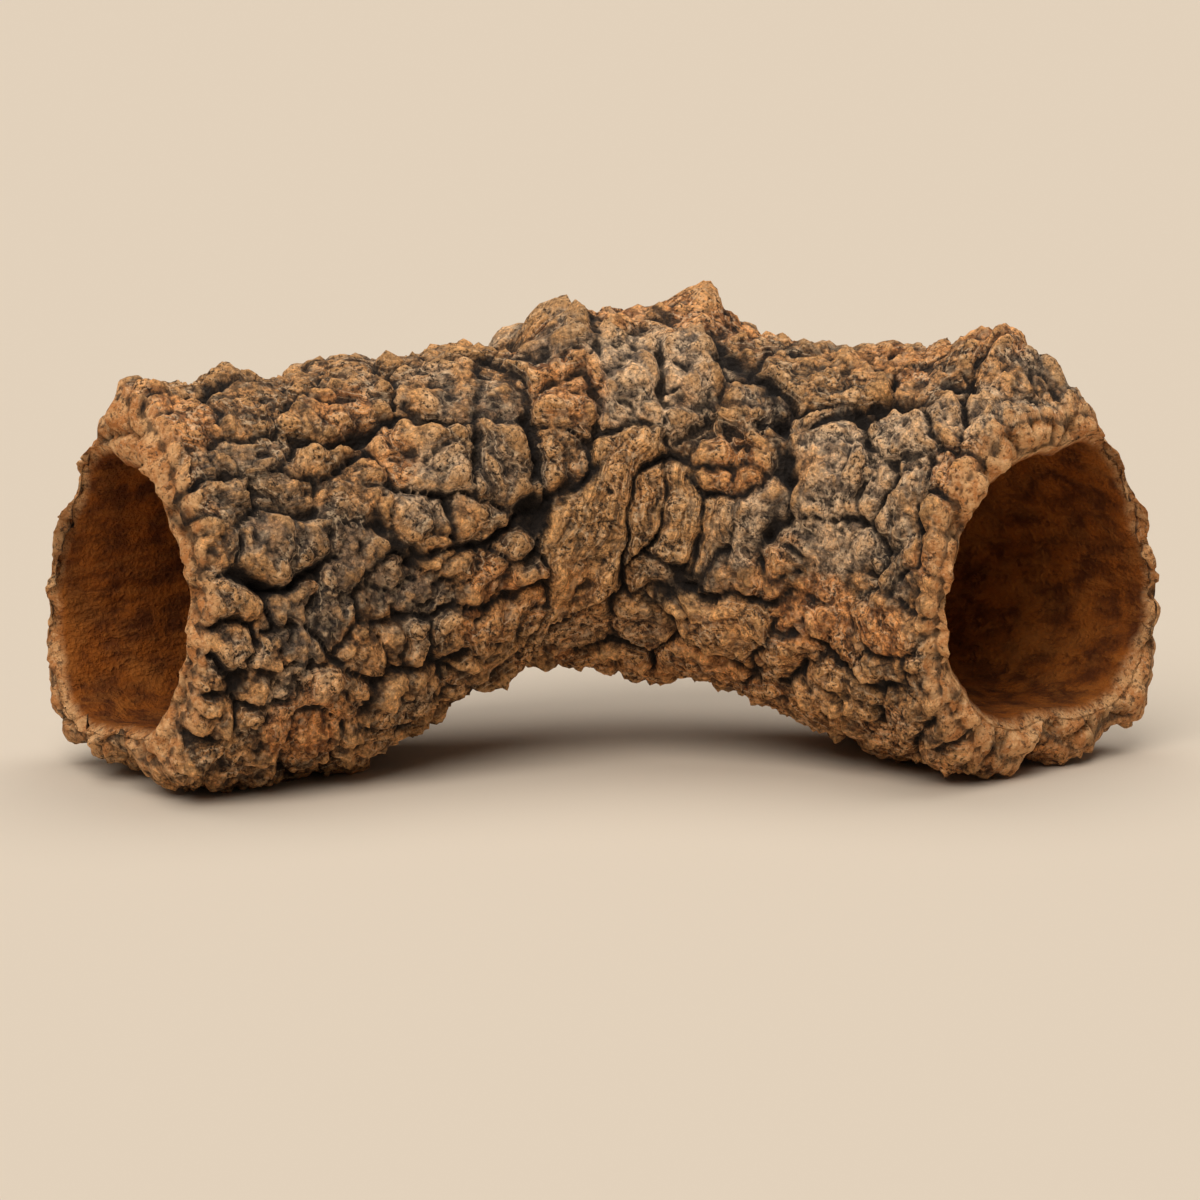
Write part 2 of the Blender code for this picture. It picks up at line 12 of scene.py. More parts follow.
import bpy
import numpy as np
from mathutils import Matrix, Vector


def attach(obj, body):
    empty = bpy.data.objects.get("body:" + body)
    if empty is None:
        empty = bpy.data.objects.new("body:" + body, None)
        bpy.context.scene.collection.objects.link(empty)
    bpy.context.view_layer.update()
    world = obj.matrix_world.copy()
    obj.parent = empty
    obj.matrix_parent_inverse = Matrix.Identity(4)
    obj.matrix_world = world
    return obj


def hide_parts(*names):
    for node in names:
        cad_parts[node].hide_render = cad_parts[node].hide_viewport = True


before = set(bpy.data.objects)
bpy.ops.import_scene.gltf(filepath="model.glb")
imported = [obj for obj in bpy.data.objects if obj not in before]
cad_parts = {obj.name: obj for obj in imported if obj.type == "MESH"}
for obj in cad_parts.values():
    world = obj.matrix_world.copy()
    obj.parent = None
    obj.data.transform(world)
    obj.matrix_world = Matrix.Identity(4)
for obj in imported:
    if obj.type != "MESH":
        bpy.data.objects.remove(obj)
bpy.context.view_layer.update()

MM = 0.001

# Course and section of the tube. Columns: right, back and up to the middle of the section, half
# of its width, half of its height, how square it is (2 is an ellipse), narrowing of its top.
STATIONS = (
    (-142, 47, 58, 50, 57, 2.5, 0.20),
    (-95, 76, 59, 50, 58, 2.4, 0.12),
    (-45, 104, 75, 50, 51, 2.2, 0.05),
    (12, 118, 81, 51, 52, 2.1, 0.03),
    (62, 109, 70, 52, 55, 2.2, 0.05),
    (104, 89, 60, 54, 58, 2.3, 0.12),
    (134, 63, 57, 56, 57, 2.3, 0.18),
)
# From the middle of the course's own box to the middle of the finished bark's box.
CENTRE = (2.0, 88.0)

# Thickness of the bark every 45 degrees round each mouth, from the top towards the front.
WALL_LEFT = (19, 17, 16, 17, 17, 11, 7, 9)
WALL_BEND = (17, 17, 11, 15, 18, 14, 10, 14)
WALL_RIGHT = (17, 16, 10, 16, 20, 12, 6.5, 8)
# How far the left mouth is cut back from the first station, and the right mouth from the last.
CUT_LEFT = (0, 2, 6, 3, 1, 1, 0, 1)
CUT_RIGHT = (0, 2, 1, 0, 1, 1, 1, 2)
OUTER_ROUNDING = 4.0
INNER_ROUNDING = 3.0

# Broad swellings and hollows: along, round, reach along, reach round, height.
SWELLS = (
    (38, -6, 48, 18, 4.0),
    (68, -4, 8, 14, -2.0),
    (96, -4, 9, 16, 3.0),
    (136, -4, 9, 22, -9.0),
    (155, 0, 14, 24, 5.5),
    (171, 0, 10, 16, 2.5),
    (168, 40, 26, 22, 2.5),
    (184, -8, 10, 14, 13.0),
    (211, -4, 10, 16, 2.5),
    (230, 4, 22, 20, 1.5),
    (256, -6, 20, 18, 7.0),
    (284, -8, 15, 18, 14.0),
    (309, -6, 7, 20, -4.0),
    (150, 172, 34, 16, 5.5),
    (168, 19, 6, 6, -6.0),
    (0, 178, 15, 15, -10.0),
    (0, 200, 14, 12, -6.0),
    (2, 303, 24, 24, -5.5),
    (314, 182, 11, 11, -9.0),
    (311, 228, 14, 14, 7.5),
    (311, 255, 10, 10, 2.5),
    (309, 300, 9, 10, -3.0),
    (0, 284, 9, 10, -3.5),
    (305, 340, 14, 15, 5.5),
    (312, 322, 22, 22, -5.0),
    (251, 56, 16, 16, 2.5),
    (100, 62, 24, 18, 2.5),
    (195, 165, 16, 18, 2.0),
    (88, 158, 20, 16, -1.5),
    # Low swellings at the back of the underside, which steady it
    (72, 202, 23, 16, 13.5),
    (254, 202, 23, 16, 12.5),
)

# Plates read off the photo: along, round, half length, half width, lean of the length from the
# tube's own direction towards the underside, rise, depth of the grain along the plate.
PLATES = (
    # Left arm, from the mouth
    (9, 28, 10, 8, -40, 1.0, 0.3),
    (33, 24, 9, 6, -50, 1.5, 0.2),
    (57, 12, 13, 9, -50, 1.0, 0.2),
    (66, 28, 10, 7, 0, 2.5, 0.3),
    (28, 38, 9, 6, 5, 0.5, 0.6),
    (11, 42, 9, 6, 5, 1.0, 0.6),
    (56, 45, 12, 5, 10, 1.0, 0.6),
    (13, 54, 10, 7, -10, 1.5, 0.6),
    (64, 55, 10, 8, -25, 2.0, 0.2),
    (36, 54, 8, 6, 0, 0.5, 0.6),
    (12, 70, 5, 4, -40, 1.5, 0.0),
    (31, 70, 13, 8, 3, 3.0, 0.2),
    (54, 76, 9, 8, 8, 1.5, 0.2),
    (17, 88, 8, 6, 5, 1.5, 0.1),
    (33, 87, 6, 5, 8, 2.5, 0.0),
    (14, 103, 7, 6, 20, 3.0, 0.0),
    (24, 104, 7, 5, 10, 3.0, 0.0),
    (34, 104, 6, 5, 15, 2.5, 0.0),
    (45, 95, 7, 6, 20, 1.0, 0.0),
    (54, 109, 7, 6, 60, 2.5, 0.0),
    (6, 113, 7, 5, 10, 0.0, 0.0),
    (25, 116, 9, 5, 10, 0.0, 0.1),
    (46, 121, 10, 7, 25, 1.0, 0.1),
    (9, 126, 9, 7, 35, 1.0, 0.0),
    (26, 128, 9, 7, 38, 1.5, 0.0),
    (40, 134, 8, 6, 38, 1.0, 0.0),
    (20, 144, 15, 9, 35, 1.5, 0.1),
    (40, 146, 11, 6, 40, 0.5, 0.1),
    (64, 93, 9, 8, 80, -0.5, 0.1),
    # Big lobe of the left arm and the strip above it
    (95, 56, 15, 11, 5, 3.5, 0.4),
    (117, 68, 14, 10, -70, 3.5, 0.4),
    (82, 72, 10, 8, 10, 2.5, 0.2),
    (105, 80, 12, 6, 10, 2.5, 0.2),
    (110, 30, 14, 12, -50, 1.0, 0.3),
    (88, 24, 13, 9, 0, 1.5, 0.2),
    (126, 42, 11, 9, -60, 0.0, 0.2),
    # Under that lobe
    (112, 94, 6, 5, 75, 2.0, 0.0),
    (99, 98, 8, 5, 10, 1.5, 0.1),
    (113, 106, 7, 6, 40, 1.5, 0.0),
    (88, 104, 8, 4, 25, 0.5, 0.1),
    (84, 115, 9, 6, 30, 1.0, 0.3),
    (66, 108, 9, 6, 30, 0.5, 0.1),
    (106, 123, 15, 9, -30, 0.5, 0.8),
    (64, 132, 12, 7, 30, 1.0, 0.3),
    (84, 140, 12, 7, 0, 0.0, 0.4),
    # Hump of the elbow
    (144, 28, 19, 11, -78, 3.0, 0.3),
    (144, 54, 10, 8, -75, 2.0, 0.2),
    (137, 70, 9, 7, -75, 1.0, 0.1),
    (166, 46, 16, 12, -87, 3.5, 0.1),
    (185, 40, 17, 11, 82, 3.5, 0.1),
    (207, 47, 9, 8, 70, 3.0, 0.1),
    (217, 58, 8, 7, 30, 2.5, 0.1),
    (203, 63, 9, 7, -20, 1.0, 0.2),
    (208, 72, 9, 6, -20, 0.5, 0.4),
    # Long fibrous slab across the elbow, and the wedges beside it
    (151, 97, 32, 9, -63, 3.5, 1.6),
    (172, 93, 14, 6, -80, 2.0, 1.2),
    (193, 96, 21, 7, 84, 1.0, 1.4),
    (209, 86, 13, 6, 75, 0.5, 1.0),
    (226, 77, 11, 5, -88, 2.0, 0.3),
    (222, 98, 8, 7, -45, 0.5, 0.2),
    (235, 91, 7, 5, -20, 1.5, 0.1),
    (191, 110, 8, 7, -55, 0.5, 0.4),
    (221, 121, 20, 9, 3, 2.0, 1.4),
    (178, 134, 14, 9, -30, 0.0, 0.8),
    (147, 140, 12, 8, -50, 0.5, 0.8),
    # Right arm
    (195, 20, 12, 7, 80, -0.5, 0.2),
    (231, 27, 20, 10, 5, 2.5, 0.8),
    (251, 54, 15, 13, 40, 3.0, 0.2),
    (268, 40, 12, 9, 10, 2.5, 0.2),
    (274, 57, 11, 9, 30, 2.5, 0.2),
    (291, 64, 18, 7, 70, 2.5, 0.5),
    (291, 30, 11, 7, 40, 2.0, 0.6),
    (306, 30, 14, 8, 42, 2.5, 0.7),
    (310, 49, 11, 8, 8, 2.0, 0.2),
    (312, 68, 12, 7, 65, 1.5, 0.2),
    (307, 85, 8, 5, -10, 1.0, 0.1),
    (294, 99, 9, 8, -20, 3.0, 0.1),
    (250, 81, 13, 6, -14, 1.5, 0.3),
    (276, 77, 10, 5, -12, 1.5, 0.2),
    (259, 93, 10, 7, -20, 1.0, 0.1),
    (252, 108, 10, 8, -40, 0.5, 0.1),
    (271, 109, 8, 6, -75, 0.5, 0.1),
    (292, 113, 9, 5, -18, 1.0, 0.3),
    (309, 111, 8, 6, -37, 0.5, 0.1),
    (269, 126, 13, 8, 5, 2.0, 1.0),
    (244, 125, 10, 7, -18, 1.5, 1.0),
    (299, 127, 12, 7, -30, 1.0, 0.5),
    (311, 134, 11, 7, -36, 1.0, 0.1),
    (303, 148, 12, 8, -40, 1.0, 0.2),
    (278, 145, 14, 8, 0, 0.5, 0.6),
)

# Long cracks: half width, depth, then the places the crack passes.
CRACKS = (
    (3.0, 9, ((11, 74), (20, 81), (30, 82), (41, 79), (46, 74))),
    (2.8, 8, ((40, 37), (57, 39), (73, 40), (86, 38), (97, 42))),
    (3.2, 8, ((66, 66), (72, 80), (90, 86), (108, 89), (120, 87), (133, 88))),
    (3.0, 8, ((133, 50), (129, 62), (126, 76), (123, 90))),
    (4.2, 10, ((186, 14), (197, 28), (210, 37), (222, 49), (231, 65), (231, 80), (227, 92))),
    (3.6, 8, ((232, 47), (243, 42), (255, 35), (270, 28), (281, 18), (292, 13))),
    (2.0, 6, ((293, 52), (299, 60), (304, 70), (307, 78), (299, 82))),
    (2.4, 5, ((3, 99), (9, 108), (19, 111), (30, 109), (40, 107))),
    (2.6, 7, ((168, 68), (149, 78), (132, 83), (122, 92))),
    (2.4, 6, ((181, 82), (177, 100), (164, 120), (152, 140))),
    (2.6, 6, ((62, 100), (78, 104), (95, 108), (112, 114), (126, 112))),
    (2.6, 6, ((238, 112), (256, 113), (270, 117), (284, 121), (297, 119), (306, 121))),
    (2.4, 6, ((200, 108), (212, 110), (226, 109), (240, 102))),
    (2.4, 5, ((300, 38), (304, 44), (299, 50))),
)

# Plates of the hidden sides: how far apart they are, how many go round, and the room they keep
# from the plates of the photo.
FILL_SPACING = 21.0
FILL_ROUND = 17
FILL_ROOM = 7
FILL_SEED = 11

# Form of the plates: width and depth of their rounded edge, how far they reach through the bark,
# how far along the tube one can lie from its middle, how much they tilt, and their grain.
PLATE_EDGE = 4.5
PLATE_DEPTH = 3.7
PLATE_THROUGH = 18
PLATE_REACH = 45
PLATE_TILT = 0.06
TILT_SEED = 5
GRAIN_LENGTH = 34
GRAIN_WIDTH = 4.6

# Lumps, crumbs and the lumps of the rims: size, height and the seed of their pattern.
NODULE = 12.0
NODULE_HEIGHT = 3.8
NODULE_SEED = 51
SMALL_NODULE = 6.0
SMALL_NODULE_HEIGHT = 1.5
SMALL_NODULE_SEED = 52
CRUMB = 11
CRUMB_HEIGHT = 2.8
CRUMB_SEED = 43
SMALL_CRUMB = 5.5
SMALL_CRUMB_HEIGHT = 1.2
SMALL_CRUMB_SEED = 44
RIM_LUMP = 17.0
RIM_LUMP_HEIGHT = 7.0
RIM_LUMP_SEED = 85
# Grooves between the lumps of a rim: depth, how far they run in from the mouth, and how narrow
# the painted shade in their joints is (a higher number makes it narrower).
RIM_NOTCH = 4.0
RIM_NOTCH_REACH = 8
RIM_JOINT = 2.0

# Noise is centred on 0. Its absolute value has about this mean.
MEAN_RIDGE = 0.28
# The relief may not go lower or higher than this, and it is less deep where the bark is thinner
# than the full wall.
LOWEST = -10.5
HIGHEST = 21
FULL_WALL = 16

# Colours, as linear light.
# Nearly black: pits and pores, and painted shade in cracks, seams, creases and low places.
BARK_PITS_AND_SHADE = (0.015, 0.011, 0.009, 1.0)
BARK_CHARCOAL = (0.062, 0.050, 0.041, 1.0)
BARK_DARK = (0.095, 0.050, 0.025, 1.0)
BARK_BROWN = (0.500, 0.245, 0.095, 1.0)
BARK_SLATE = (0.185, 0.137, 0.100, 1.0)
BARK_GREY = (0.690, 0.490, 0.315, 1.0)
# Pale flecks of the rims, and painted highlights on crumbs and on the edges of growth layers.
BARK_PALE_AND_HIGHLIGHT = (0.930, 0.680, 0.430, 1.0)
# Tan of the fibres, and painted highlight with some wear on high places.
BARK_TAN_AND_HIGHLIGHT = (0.830, 0.440, 0.170, 1.0)
BARK_RUST = (0.260, 0.095, 0.030, 1.0)
BARK_ORANGE = (0.720, 0.300, 0.095, 1.0)
RIM_TAN = (0.780, 0.430, 0.190, 1.0)
RIM_ORANGE = (0.540, 0.220, 0.070, 1.0)
INSIDE_DARK = (0.100, 0.024, 0.003, 1.0)
INSIDE_BROWN = (0.320, 0.086, 0.008, 1.0)
INSIDE_TAN = (0.440, 0.150, 0.026, 1.0)
FLECK_LIGHTER = (1.75, 1.62, 1.45, 1.0)
FLOOR_COLOUR = (0.692, 0.602, 0.497, 1.0)

# Fineness of the visible mesh.
OUTER_ROWS = 282
INNER_ROWS = 64
RIM_ROWS = 10
COLUMNS = 266

# Layers of growth, seen as thin steps round the lumps, with lines of painted highlight and painted shade
# along them.
LAYER = 1.5
LAYER_STEP = 0.3
# How much the wrinkles of the inside are drawn out: they run along the tube.
WRINKLE_STRETCH = (0.22, 0.6, 1.0)

# Patches of colour seen in the photo: along, round, reach.
ORANGE_PATCHES = (
    (147, 49, 13),
    (80, 49, 12),
    (99, 112, 12),
    (130, 118, 13),
    (170, 79, 11),
    (211, 68, 11),
    (240, 114, 22),
    (220, 130, 14),
    (295, 99, 11),
    (242, 10, 15),
    (262, -9, 14),
    (184, -8, 12),
    (6, 22, 16),
    (75, 27, 10),
    (282, -12, 12),
    (309, 46, 12),
    (308, 75, 9),
    (36, 132, 12),
    (263, 97, 9),
)
CHARCOAL_PATCHES = (
    (28, 60, 20),
    (119, 51, 15),
    (56, 80, 16),
    (145, 30, 11),
    (211, 40, 12),
    (34, 96, 15),
    (209, 110, 13),
    (299, -12, 13),
    (18, 43, 12),
    (215, -6, 12),
    (120, 79, 12),
    (298, 79, 12),
    (184, 142, 15),
    (74, 98, 11),
)
PALE_PATCHES = (
    (171, 44, 24),
    (262, 58, 26),
    (301, 27, 12),
    (181, 27, 12),
    (92, 63, 13),
    (226, 78, 10),
    (265, 71, 14),
    (131, 137, 12),
    (34, 117, 13),
    (218, 93, 9),
)
# How orange the underside is.
ORANGE_BELOW = 0.6

# Gloss and fine bumps of the bark's surface.
BARK_SPECULAR = 0.25
BUMP_STRENGTH = 0.9
BUMP_HEIGHT = 1.6
# How much the streaks of the inside's colour are drawn out, and the size of the crust's fibres.
STREAK_STRETCH = (0.30, 0.30, 1.0)
FIBRE_LENGTH = 16.0
FIBRE_WIDTH = 1.3

# Floor: metres from its middle to its edges.
FLOOR_REACH = 60.0
FLOOR_ROUGHNESS = 0.85

# Camera: where it looks, in the bark's own frame, and from where.
CAMERA_TARGET = (-0.002, -0.026, 0.054)
CAMERA_ELEVATION = 9.0
CAMERA_DISTANCE = 1.19
CAMERA_LENS = 120.0
CAMERA_SENSOR = 36.0
CAMERA_FARTHEST = 50.0

# Lights: strength, colour, and for the two far ones the place they shine from and their spread.
WORLD_STRENGTH = 0.12
WORLD_COLOUR = (0.95, 0.90, 0.83, 1.0)
OVERHEAD_STRENGTH = 1.6
OVERHEAD_COLOUR = (1.0, 0.97, 0.93)
OVERHEAD_PLACE = (0.1, 0.35, 1.6)
OVERHEAD_SPREAD = 60
FRONT_STRENGTH = 2.1
FRONT_COLOUR = (1.0, 0.96, 0.90)
FRONT_PLACE = (-0.45, -1.2, 1.4)
FRONT_SPREAD = 45

# Tables of fixed random values, which all noise is read from.
HASH_SIZE = 4096
SEED_STEP = 131
HASH = np.random.default_rng(3).permutation(HASH_SIZE)
DIRECTIONS = np.random.default_rng(4).normal(size=(HASH_SIZE, 3))
DIRECTIONS /= np.linalg.norm(DIRECTIONS, axis=1)[:, None]


def hashed(cell, seed):
    """One fixed random index for each whole-number cell."""
    first = HASH[(cell[:, 0] + seed * SEED_STEP) % HASH_SIZE]
    second = HASH[(first + cell[:, 1]) % HASH_SIZE]
    return HASH[(second + cell[:, 2]) % HASH_SIZE]


def noise(points, wavelength, seed):
    """Smooth random values from about -1 to 1."""
    scaled = points / wavelength
    cell = np.floor(scaled).astype(int)
    within = scaled - cell
    ease = within**3 * (within * (within * 6 - 15) + 10)
    total = np.zeros(len(points))
    for corner in itertools.product((0, 1), repeat=3):
        slope = DIRECTIONS[hashed(cell + corner, seed)]
        value = ((within - corner) * slope).sum(axis=1)
        weight = np.prod(np.where(corner, ease, 1 - ease), axis=1)
        total += weight * value
    return total * 1.7


def nodules(points, size, seed):
    """Rounded lumps about `size` across, from 0 in the seams between them to 1 on top."""
    scaled = points / size
    cell = np.floor(scaled).astype(int)
    nearest = np.full(len(points), 9.0)
    second = np.full(len(points), 9.0)
    for offset in itertools.product((-1, 0, 1), repeat=3):
        corner = cell + offset
        middle = corner + 0.5 + 0.45 * DIRECTIONS[hashed(corner, seed)]
        distance = np.linalg.norm(scaled - middle, axis=1)
        second = np.minimum(second, np.maximum(nearest, distance))
        nearest = np.minimum(nearest, distance)
    return rounded(second - nearest, 0.7) * (1 - 0.5 * np.clip(nearest, 0, 1) ** 2)


def rounded(distance, reach):
    """A quarter circle: 0 at distance 0, 1 from `reach` on."""
    inward = 1 - np.clip(distance / reach, 0, 1)
    return np.sqrt(1 - inward**2)


def natural_spline(knots, values, at):
    """Natural cubic spline through the rows of `values`."""
    count = len(knots)
    step = np.diff(knots)
    matrix = np.zeros((count, count))
    right = np.zeros((count, values.shape[1]))
    matrix[0, 0] = 1
    matrix[-1, -1] = 1
    for i in range(1, count - 1):
        matrix[i, i - 1] = step[i - 1]
        matrix[i, i] = 2 * (step[i - 1] + step[i])
        matrix[i, i + 1] = step[i]
        rise_after = (values[i + 1] - values[i]) / step[i]
        rise_before = (values[i] - values[i - 1]) / step[i - 1]
        right[i] = 6 * (rise_after - rise_before)
    bend = np.linalg.solve(matrix, right)
    k = np.clip(np.searchsorted(knots, at, side="right") - 1, 0, count - 2)
    width = step[k][:, None]
    before = (at - knots[k])[:, None]
    after = (knots[k + 1] - at)[:, None]
    curved = (bend[k] * after**3 + bend[k + 1] * before**3) / (6 * width)
    start = (values[k] / width - bend[k] * width / 6) * after
    end = (values[k + 1] / width - bend[k + 1] * width / 6) * before
    return curved + start + end


STATION_VALUES = np.array(STATIONS, float)
STATION_GAPS = np.linalg.norm(np.diff(STATION_VALUES[:, :3], axis=0), axis=1)
STATION_PLACES = np.concatenate([[0], np.cumsum(STATION_GAPS)])
LENGTH = STATION_PLACES[-1]


def station(along):
    """The station values at some distances along the tube."""
    return natural_spline(STATION_PLACES, STATION_VALUES, along)


def unit(vectors):
    """The same directions with length 1."""
    return vectors / np.linalg.norm(vectors, axis=1)[:, None]


def tube(along, turn, inward=0.0, outward=0.0):
    """Points of the plain tube, its section shrunk by `inward` and then raised by `outward`."""
    here = station(along)
    forward = unit(station(along + 0.5)[:, :3] - station(along - 0.5)[:, :3])
    up = np.array([0.0, 0.0, 1.0]) - forward[:, 2:3] * forward
    up = unit(up)
    front = np.cross(forward, up)
    half_width = here[:, 3] - inward
    half_height = here[:, 4] - inward
    square = here[:, 5]
    cosine = np.cos(turn)
    sine = np.sin(turn)
    power = np.abs(cosine / half_height) ** square + np.abs(sine / half_width) ** square
    radius = power ** (-1 / square) + outward
    narrowing = here[:, 6] * cosine * np.where(sine < 0, 1.6, 0.5)
    across = radius * sine * (1 - narrowing)
    return here[:, :3] + up * (radius * cosine)[:, None] + front * across[:, None]


def round_table(table, turn):
    """Values listed every 45 degrees, joined smoothly all the way round."""
    values = np.array(table, float)
    place = np.degrees(turn) % 360 / 45
    index = np.floor(place).astype(int) % 8
    part = place - np.floor(place)
    blend = (1 - np.cos(part * math.pi)) / 2
    return values[index] * (1 - blend) + values[(index + 1) % 8] * blend


def wall(along, turn):
    """Thickness of the bark, blended from mouth to bend to mouth."""
    share = np.clip(2 * along / LENGTH, 0, 2)
    left = round_table(WALL_LEFT, turn) * np.clip(1 - share, 0, 1)
    bend = round_table(WALL_BEND, turn) * (1 - np.abs(share - 1))
    right = round_table(WALL_RIGHT, turn) * np.clip(share - 1, 0, 1)
    return left + bend + right


def fill_plates():
    """Places for the plates of the sides that the photo doesn't show, clear of those it does."""
    chance = np.random.default_rng(FILL_SEED)
    shown = np.array(PLATES, float)
    shown_at = tube(shown[:, 0], np.radians(shown[:, 1]))
    reach = np.sqrt(shown[:, 2] * shown[:, 3])
    found = []
    for along in np.arange(2, LENGTH + 4, FILL_SPACING * 0.86):
        for turn in np.arange(0, 360, 360 / FILL_ROUND):
            place = along + chance.uniform(-6, 6)
            angle = turn + chance.uniform(-7, 7)
            half_length = chance.uniform(9, 16)
            half_width = half_length * chance.uniform(0.5, 0.9)
            lean = chance.normal(0, 35)
            rise = chance.uniform(-0.5, 3.0)
            grain = chance.uniform(0.0, 0.8)
            point = tube(np.array([place]), np.radians(np.array([angle])))
            gap = np.linalg.norm(shown_at - point, axis=1)
            if (gap > reach + FILL_ROOM).all():
                found.append((place, angle, half_length, half_width, lean, rise, grain))
    return found


def directions_at(places, turns):
    """Unit vectors along the tube and round it, at some places on the plain tube."""
    ahead = unit(tube(places + 0.5, turns) - tube(places - 0.5, turns))
    round_way = unit(tube(places, turns + 0.01) - tube(places, turns - 0.01))
    return ahead, round_way


def plate_pattern(along, warped):
    """Which plate owns each point, how far its border is, and where on the plate the point lies."""
    plates = np.array(list(PLATES) + fill_plates(), float)
    turns = np.radians(plates[:, 1])
    middles = tube(plates[:, 0], turns)
    ahead, round_way = directions_at(plates[:, 0], turns)
    outward = np.cross(round_way, ahead)
    count = len(warped)
    nearest = np.full(count, 9.0)
    second = np.full(count, 9.0)
    owner = np.zeros(count, int)
    neighbour = np.zeros(count, int)
    length_way = np.zeros(count)
    width_way = np.zeros(count)
    for i, plate in enumerate(plates):
        near = np.flatnonzero(np.abs(along - plate[0]) < PLATE_REACH)
        offset = warped[near] - middles[i]
        lean = math.radians(plate[4])
        long_axis = math.cos(lean) * ahead[i] + math.sin(lean) * round_way[i]
        wide_axis = math.cos(lean) * round_way[i] - math.sin(lean) * ahead[i]
        lengthwise = offset @ long_axis
        widthwise = offset @ wide_axis
        through = offset @ outward[i]
        squared = (lengthwise / plate[2]) ** 2 + (widthwise / plate[3]) ** 2
        squared += (through / PLATE_THROUGH) ** 2
        distance = np.sqrt(squared)
        closer = distance < nearest[near]
        between = ~closer & (distance < second[near])
        won = near[closer]
        second[won] = nearest[won]
        neighbour[won] = owner[won]
        nearest[won] = distance[closer]
        owner[won] = i
        length_way[won] = lengthwise[closer]
        width_way[won] = widthwise[closer]
        lost = near[between]
        second[lost] = distance[between]
        neighbour[lost] = i
    size = np.sqrt(plates[:, 2] * plates[:, 3])
    border = (second - nearest) / (1 / size[owner] + 1 / size[neighbour])
    return plates, owner, border, length_way, width_way


def plate_height(plates, owner, border, length_way, width_way, warped):
    """Pillow-edged plates, each at its own height and slightly tilted, with its own grain."""
    depth = np.clip(0.6 + 0.75 * noise(warped, 24, 33), 0.15, 1)
    pillow = 1 - depth * (1 - rounded(border, PLATE_EDGE))
    tilt = np.random.default_rng(TILT_SEED).normal(0, PLATE_TILT, (len(plates), 2))
    slope = tilt[owner, 0] * length_way + tilt[owner, 1] * width_way
    grain_at = np.stack([length_way / GRAIN_LENGTH, width_way / GRAIN_WIDTH, owner * 7.3], axis=1)
    grain = plates[owner, 6] * noise(grain_at, 1.0, 31)
    rise = plates[owner, 5] + np.clip(slope, -2, 2) + grain
    return PLATE_DEPTH * (pillow - 1) + rise * pillow


def swell_height(base):
    """Height of the broad swellings and hollows."""
    height = np.zeros(len(base))
    for place, angle, reach_along, reach_round, rise in SWELLS:
        places = np.array([float(place)])
        turns = np.array([math.radians(angle)])
        middle = tube(places, turns)
        ahead = directions_at(places, turns)[0]
        offset = base - middle
        lengthwise = offset @ ahead[0]
        crosswise = np.linalg.norm(offset - lengthwise[:, None] * ahead, axis=1)
        squared = (lengthwise / reach_along) ** 2 + (crosswise / reach_round) ** 2
        height += rise * np.exp(-squared)
    return height


def crack_height(along, warped):
    """Long grooves with slightly raised lips, fading out at both ends."""
    height = np.zeros(len(warped))
    for half_width, depth, places in CRACKS:
        line = np.array(places, float)
        corners = tube(line[:, 0], np.radians(line[:, 1]))
        lengths = np.linalg.norm(np.diff(corners, axis=0), axis=1)
        starts = np.concatenate([[0], np.cumsum(lengths)])
        reached = (along > line[:, 0].min() - 20) & (along < line[:, 0].max() + 20)
        near = np.flatnonzero(reached)
        gap = np.full(len(near), 99.0)
        passed = np.zeros(len(near))
        for i in range(len(corners) - 1):
            way = corners[i + 1] - corners[i]
            offset = warped[near] - corners[i]
            share = np.clip(offset @ way / (way @ way), 0, 1)
            distance = np.linalg.norm(offset - share[:, None] * way, axis=1)
            closer = distance < gap
            gap[closer] = distance[closer]
            passed[closer] = (starts[i] + share * lengths[i])[closer]
        ends = np.minimum(passed, starts[-1] - passed)
        taper = np.clip((ends + 3) / 9, 0.2, 1)
        groove = 1 - rounded(gap, half_width * 1.5)
        lip = np.exp(-(((gap - half_width * 2.2) / 3) ** 2))
        height[near] += taper * (0.8 * lip - depth * groove)
    return height


def warped_points(base):
    """The points shifted about a little, so that no border runs straight."""
    wide = np.stack([noise(base, 16, seed) for seed in (21, 22, 23)], axis=1)
    narrow = np.stack([noise(base, 6.5, seed) for seed in (24, 25, 26)], axis=1)
    return base + 3.0 * wide + 1.7 * narrow


def lump_height(warped):
    """Knobbly lumps in two sizes, taller in some places than in others."""
    big = 0.9 + 0.5 * noise(warped, 30, 57)
    small = 0.8 + 0.6 * noise(warped, 22, 58)
    height = NODULE_HEIGHT * big * (nodules(warped, NODULE, NODULE_SEED) - 0.55)
    small_lumps = nodules(warped, SMALL_NODULE, SMALL_NODULE_SEED) - 0.55
    return height + SMALL_NODULE_HEIGHT * small * small_lumps


def crumble_height(warped):
    """Rounded crumbs with sharp creases between them."""
    coarse = np.abs(noise(warped, CRUMB, CRUMB_SEED)) - MEAN_RIDGE
    middling = np.abs(noise(warped, SMALL_CRUMB, SMALL_CRUMB_SEED)) - MEAN_RIDGE
    return CRUMB_HEIGHT * coarse + SMALL_CRUMB_HEIGHT * middling


def coarse_relief(along, base):
    """Height of the crust over the plain tube, and the patterns that it is made of."""
    warped = warped_points(base)
    pattern = plate_pattern(along, warped)
    swell = swell_height(base)
    crack = crack_height(along, warped)
    height = plate_height(*pattern, warped) + swell + crack
    height += 1.6 * noise(base, 42, 41) + 1.1 * noise(base, 19, 42) - 0.8
    height += lump_height(warped) + crumble_height(warped)
    return height, swell, crack, warped, pattern


def notches(base, to_mouth):
    """Grooves that run over a mouth's outer edge, between the lumps of its rim."""
    groove = (1 - nodules(base, RIM_LUMP, RIM_LUMP_SEED)) ** 1.5
    return -RIM_NOTCH * groove * np.exp(-np.maximum(to_mouth, 0) / RIM_NOTCH_REACH)


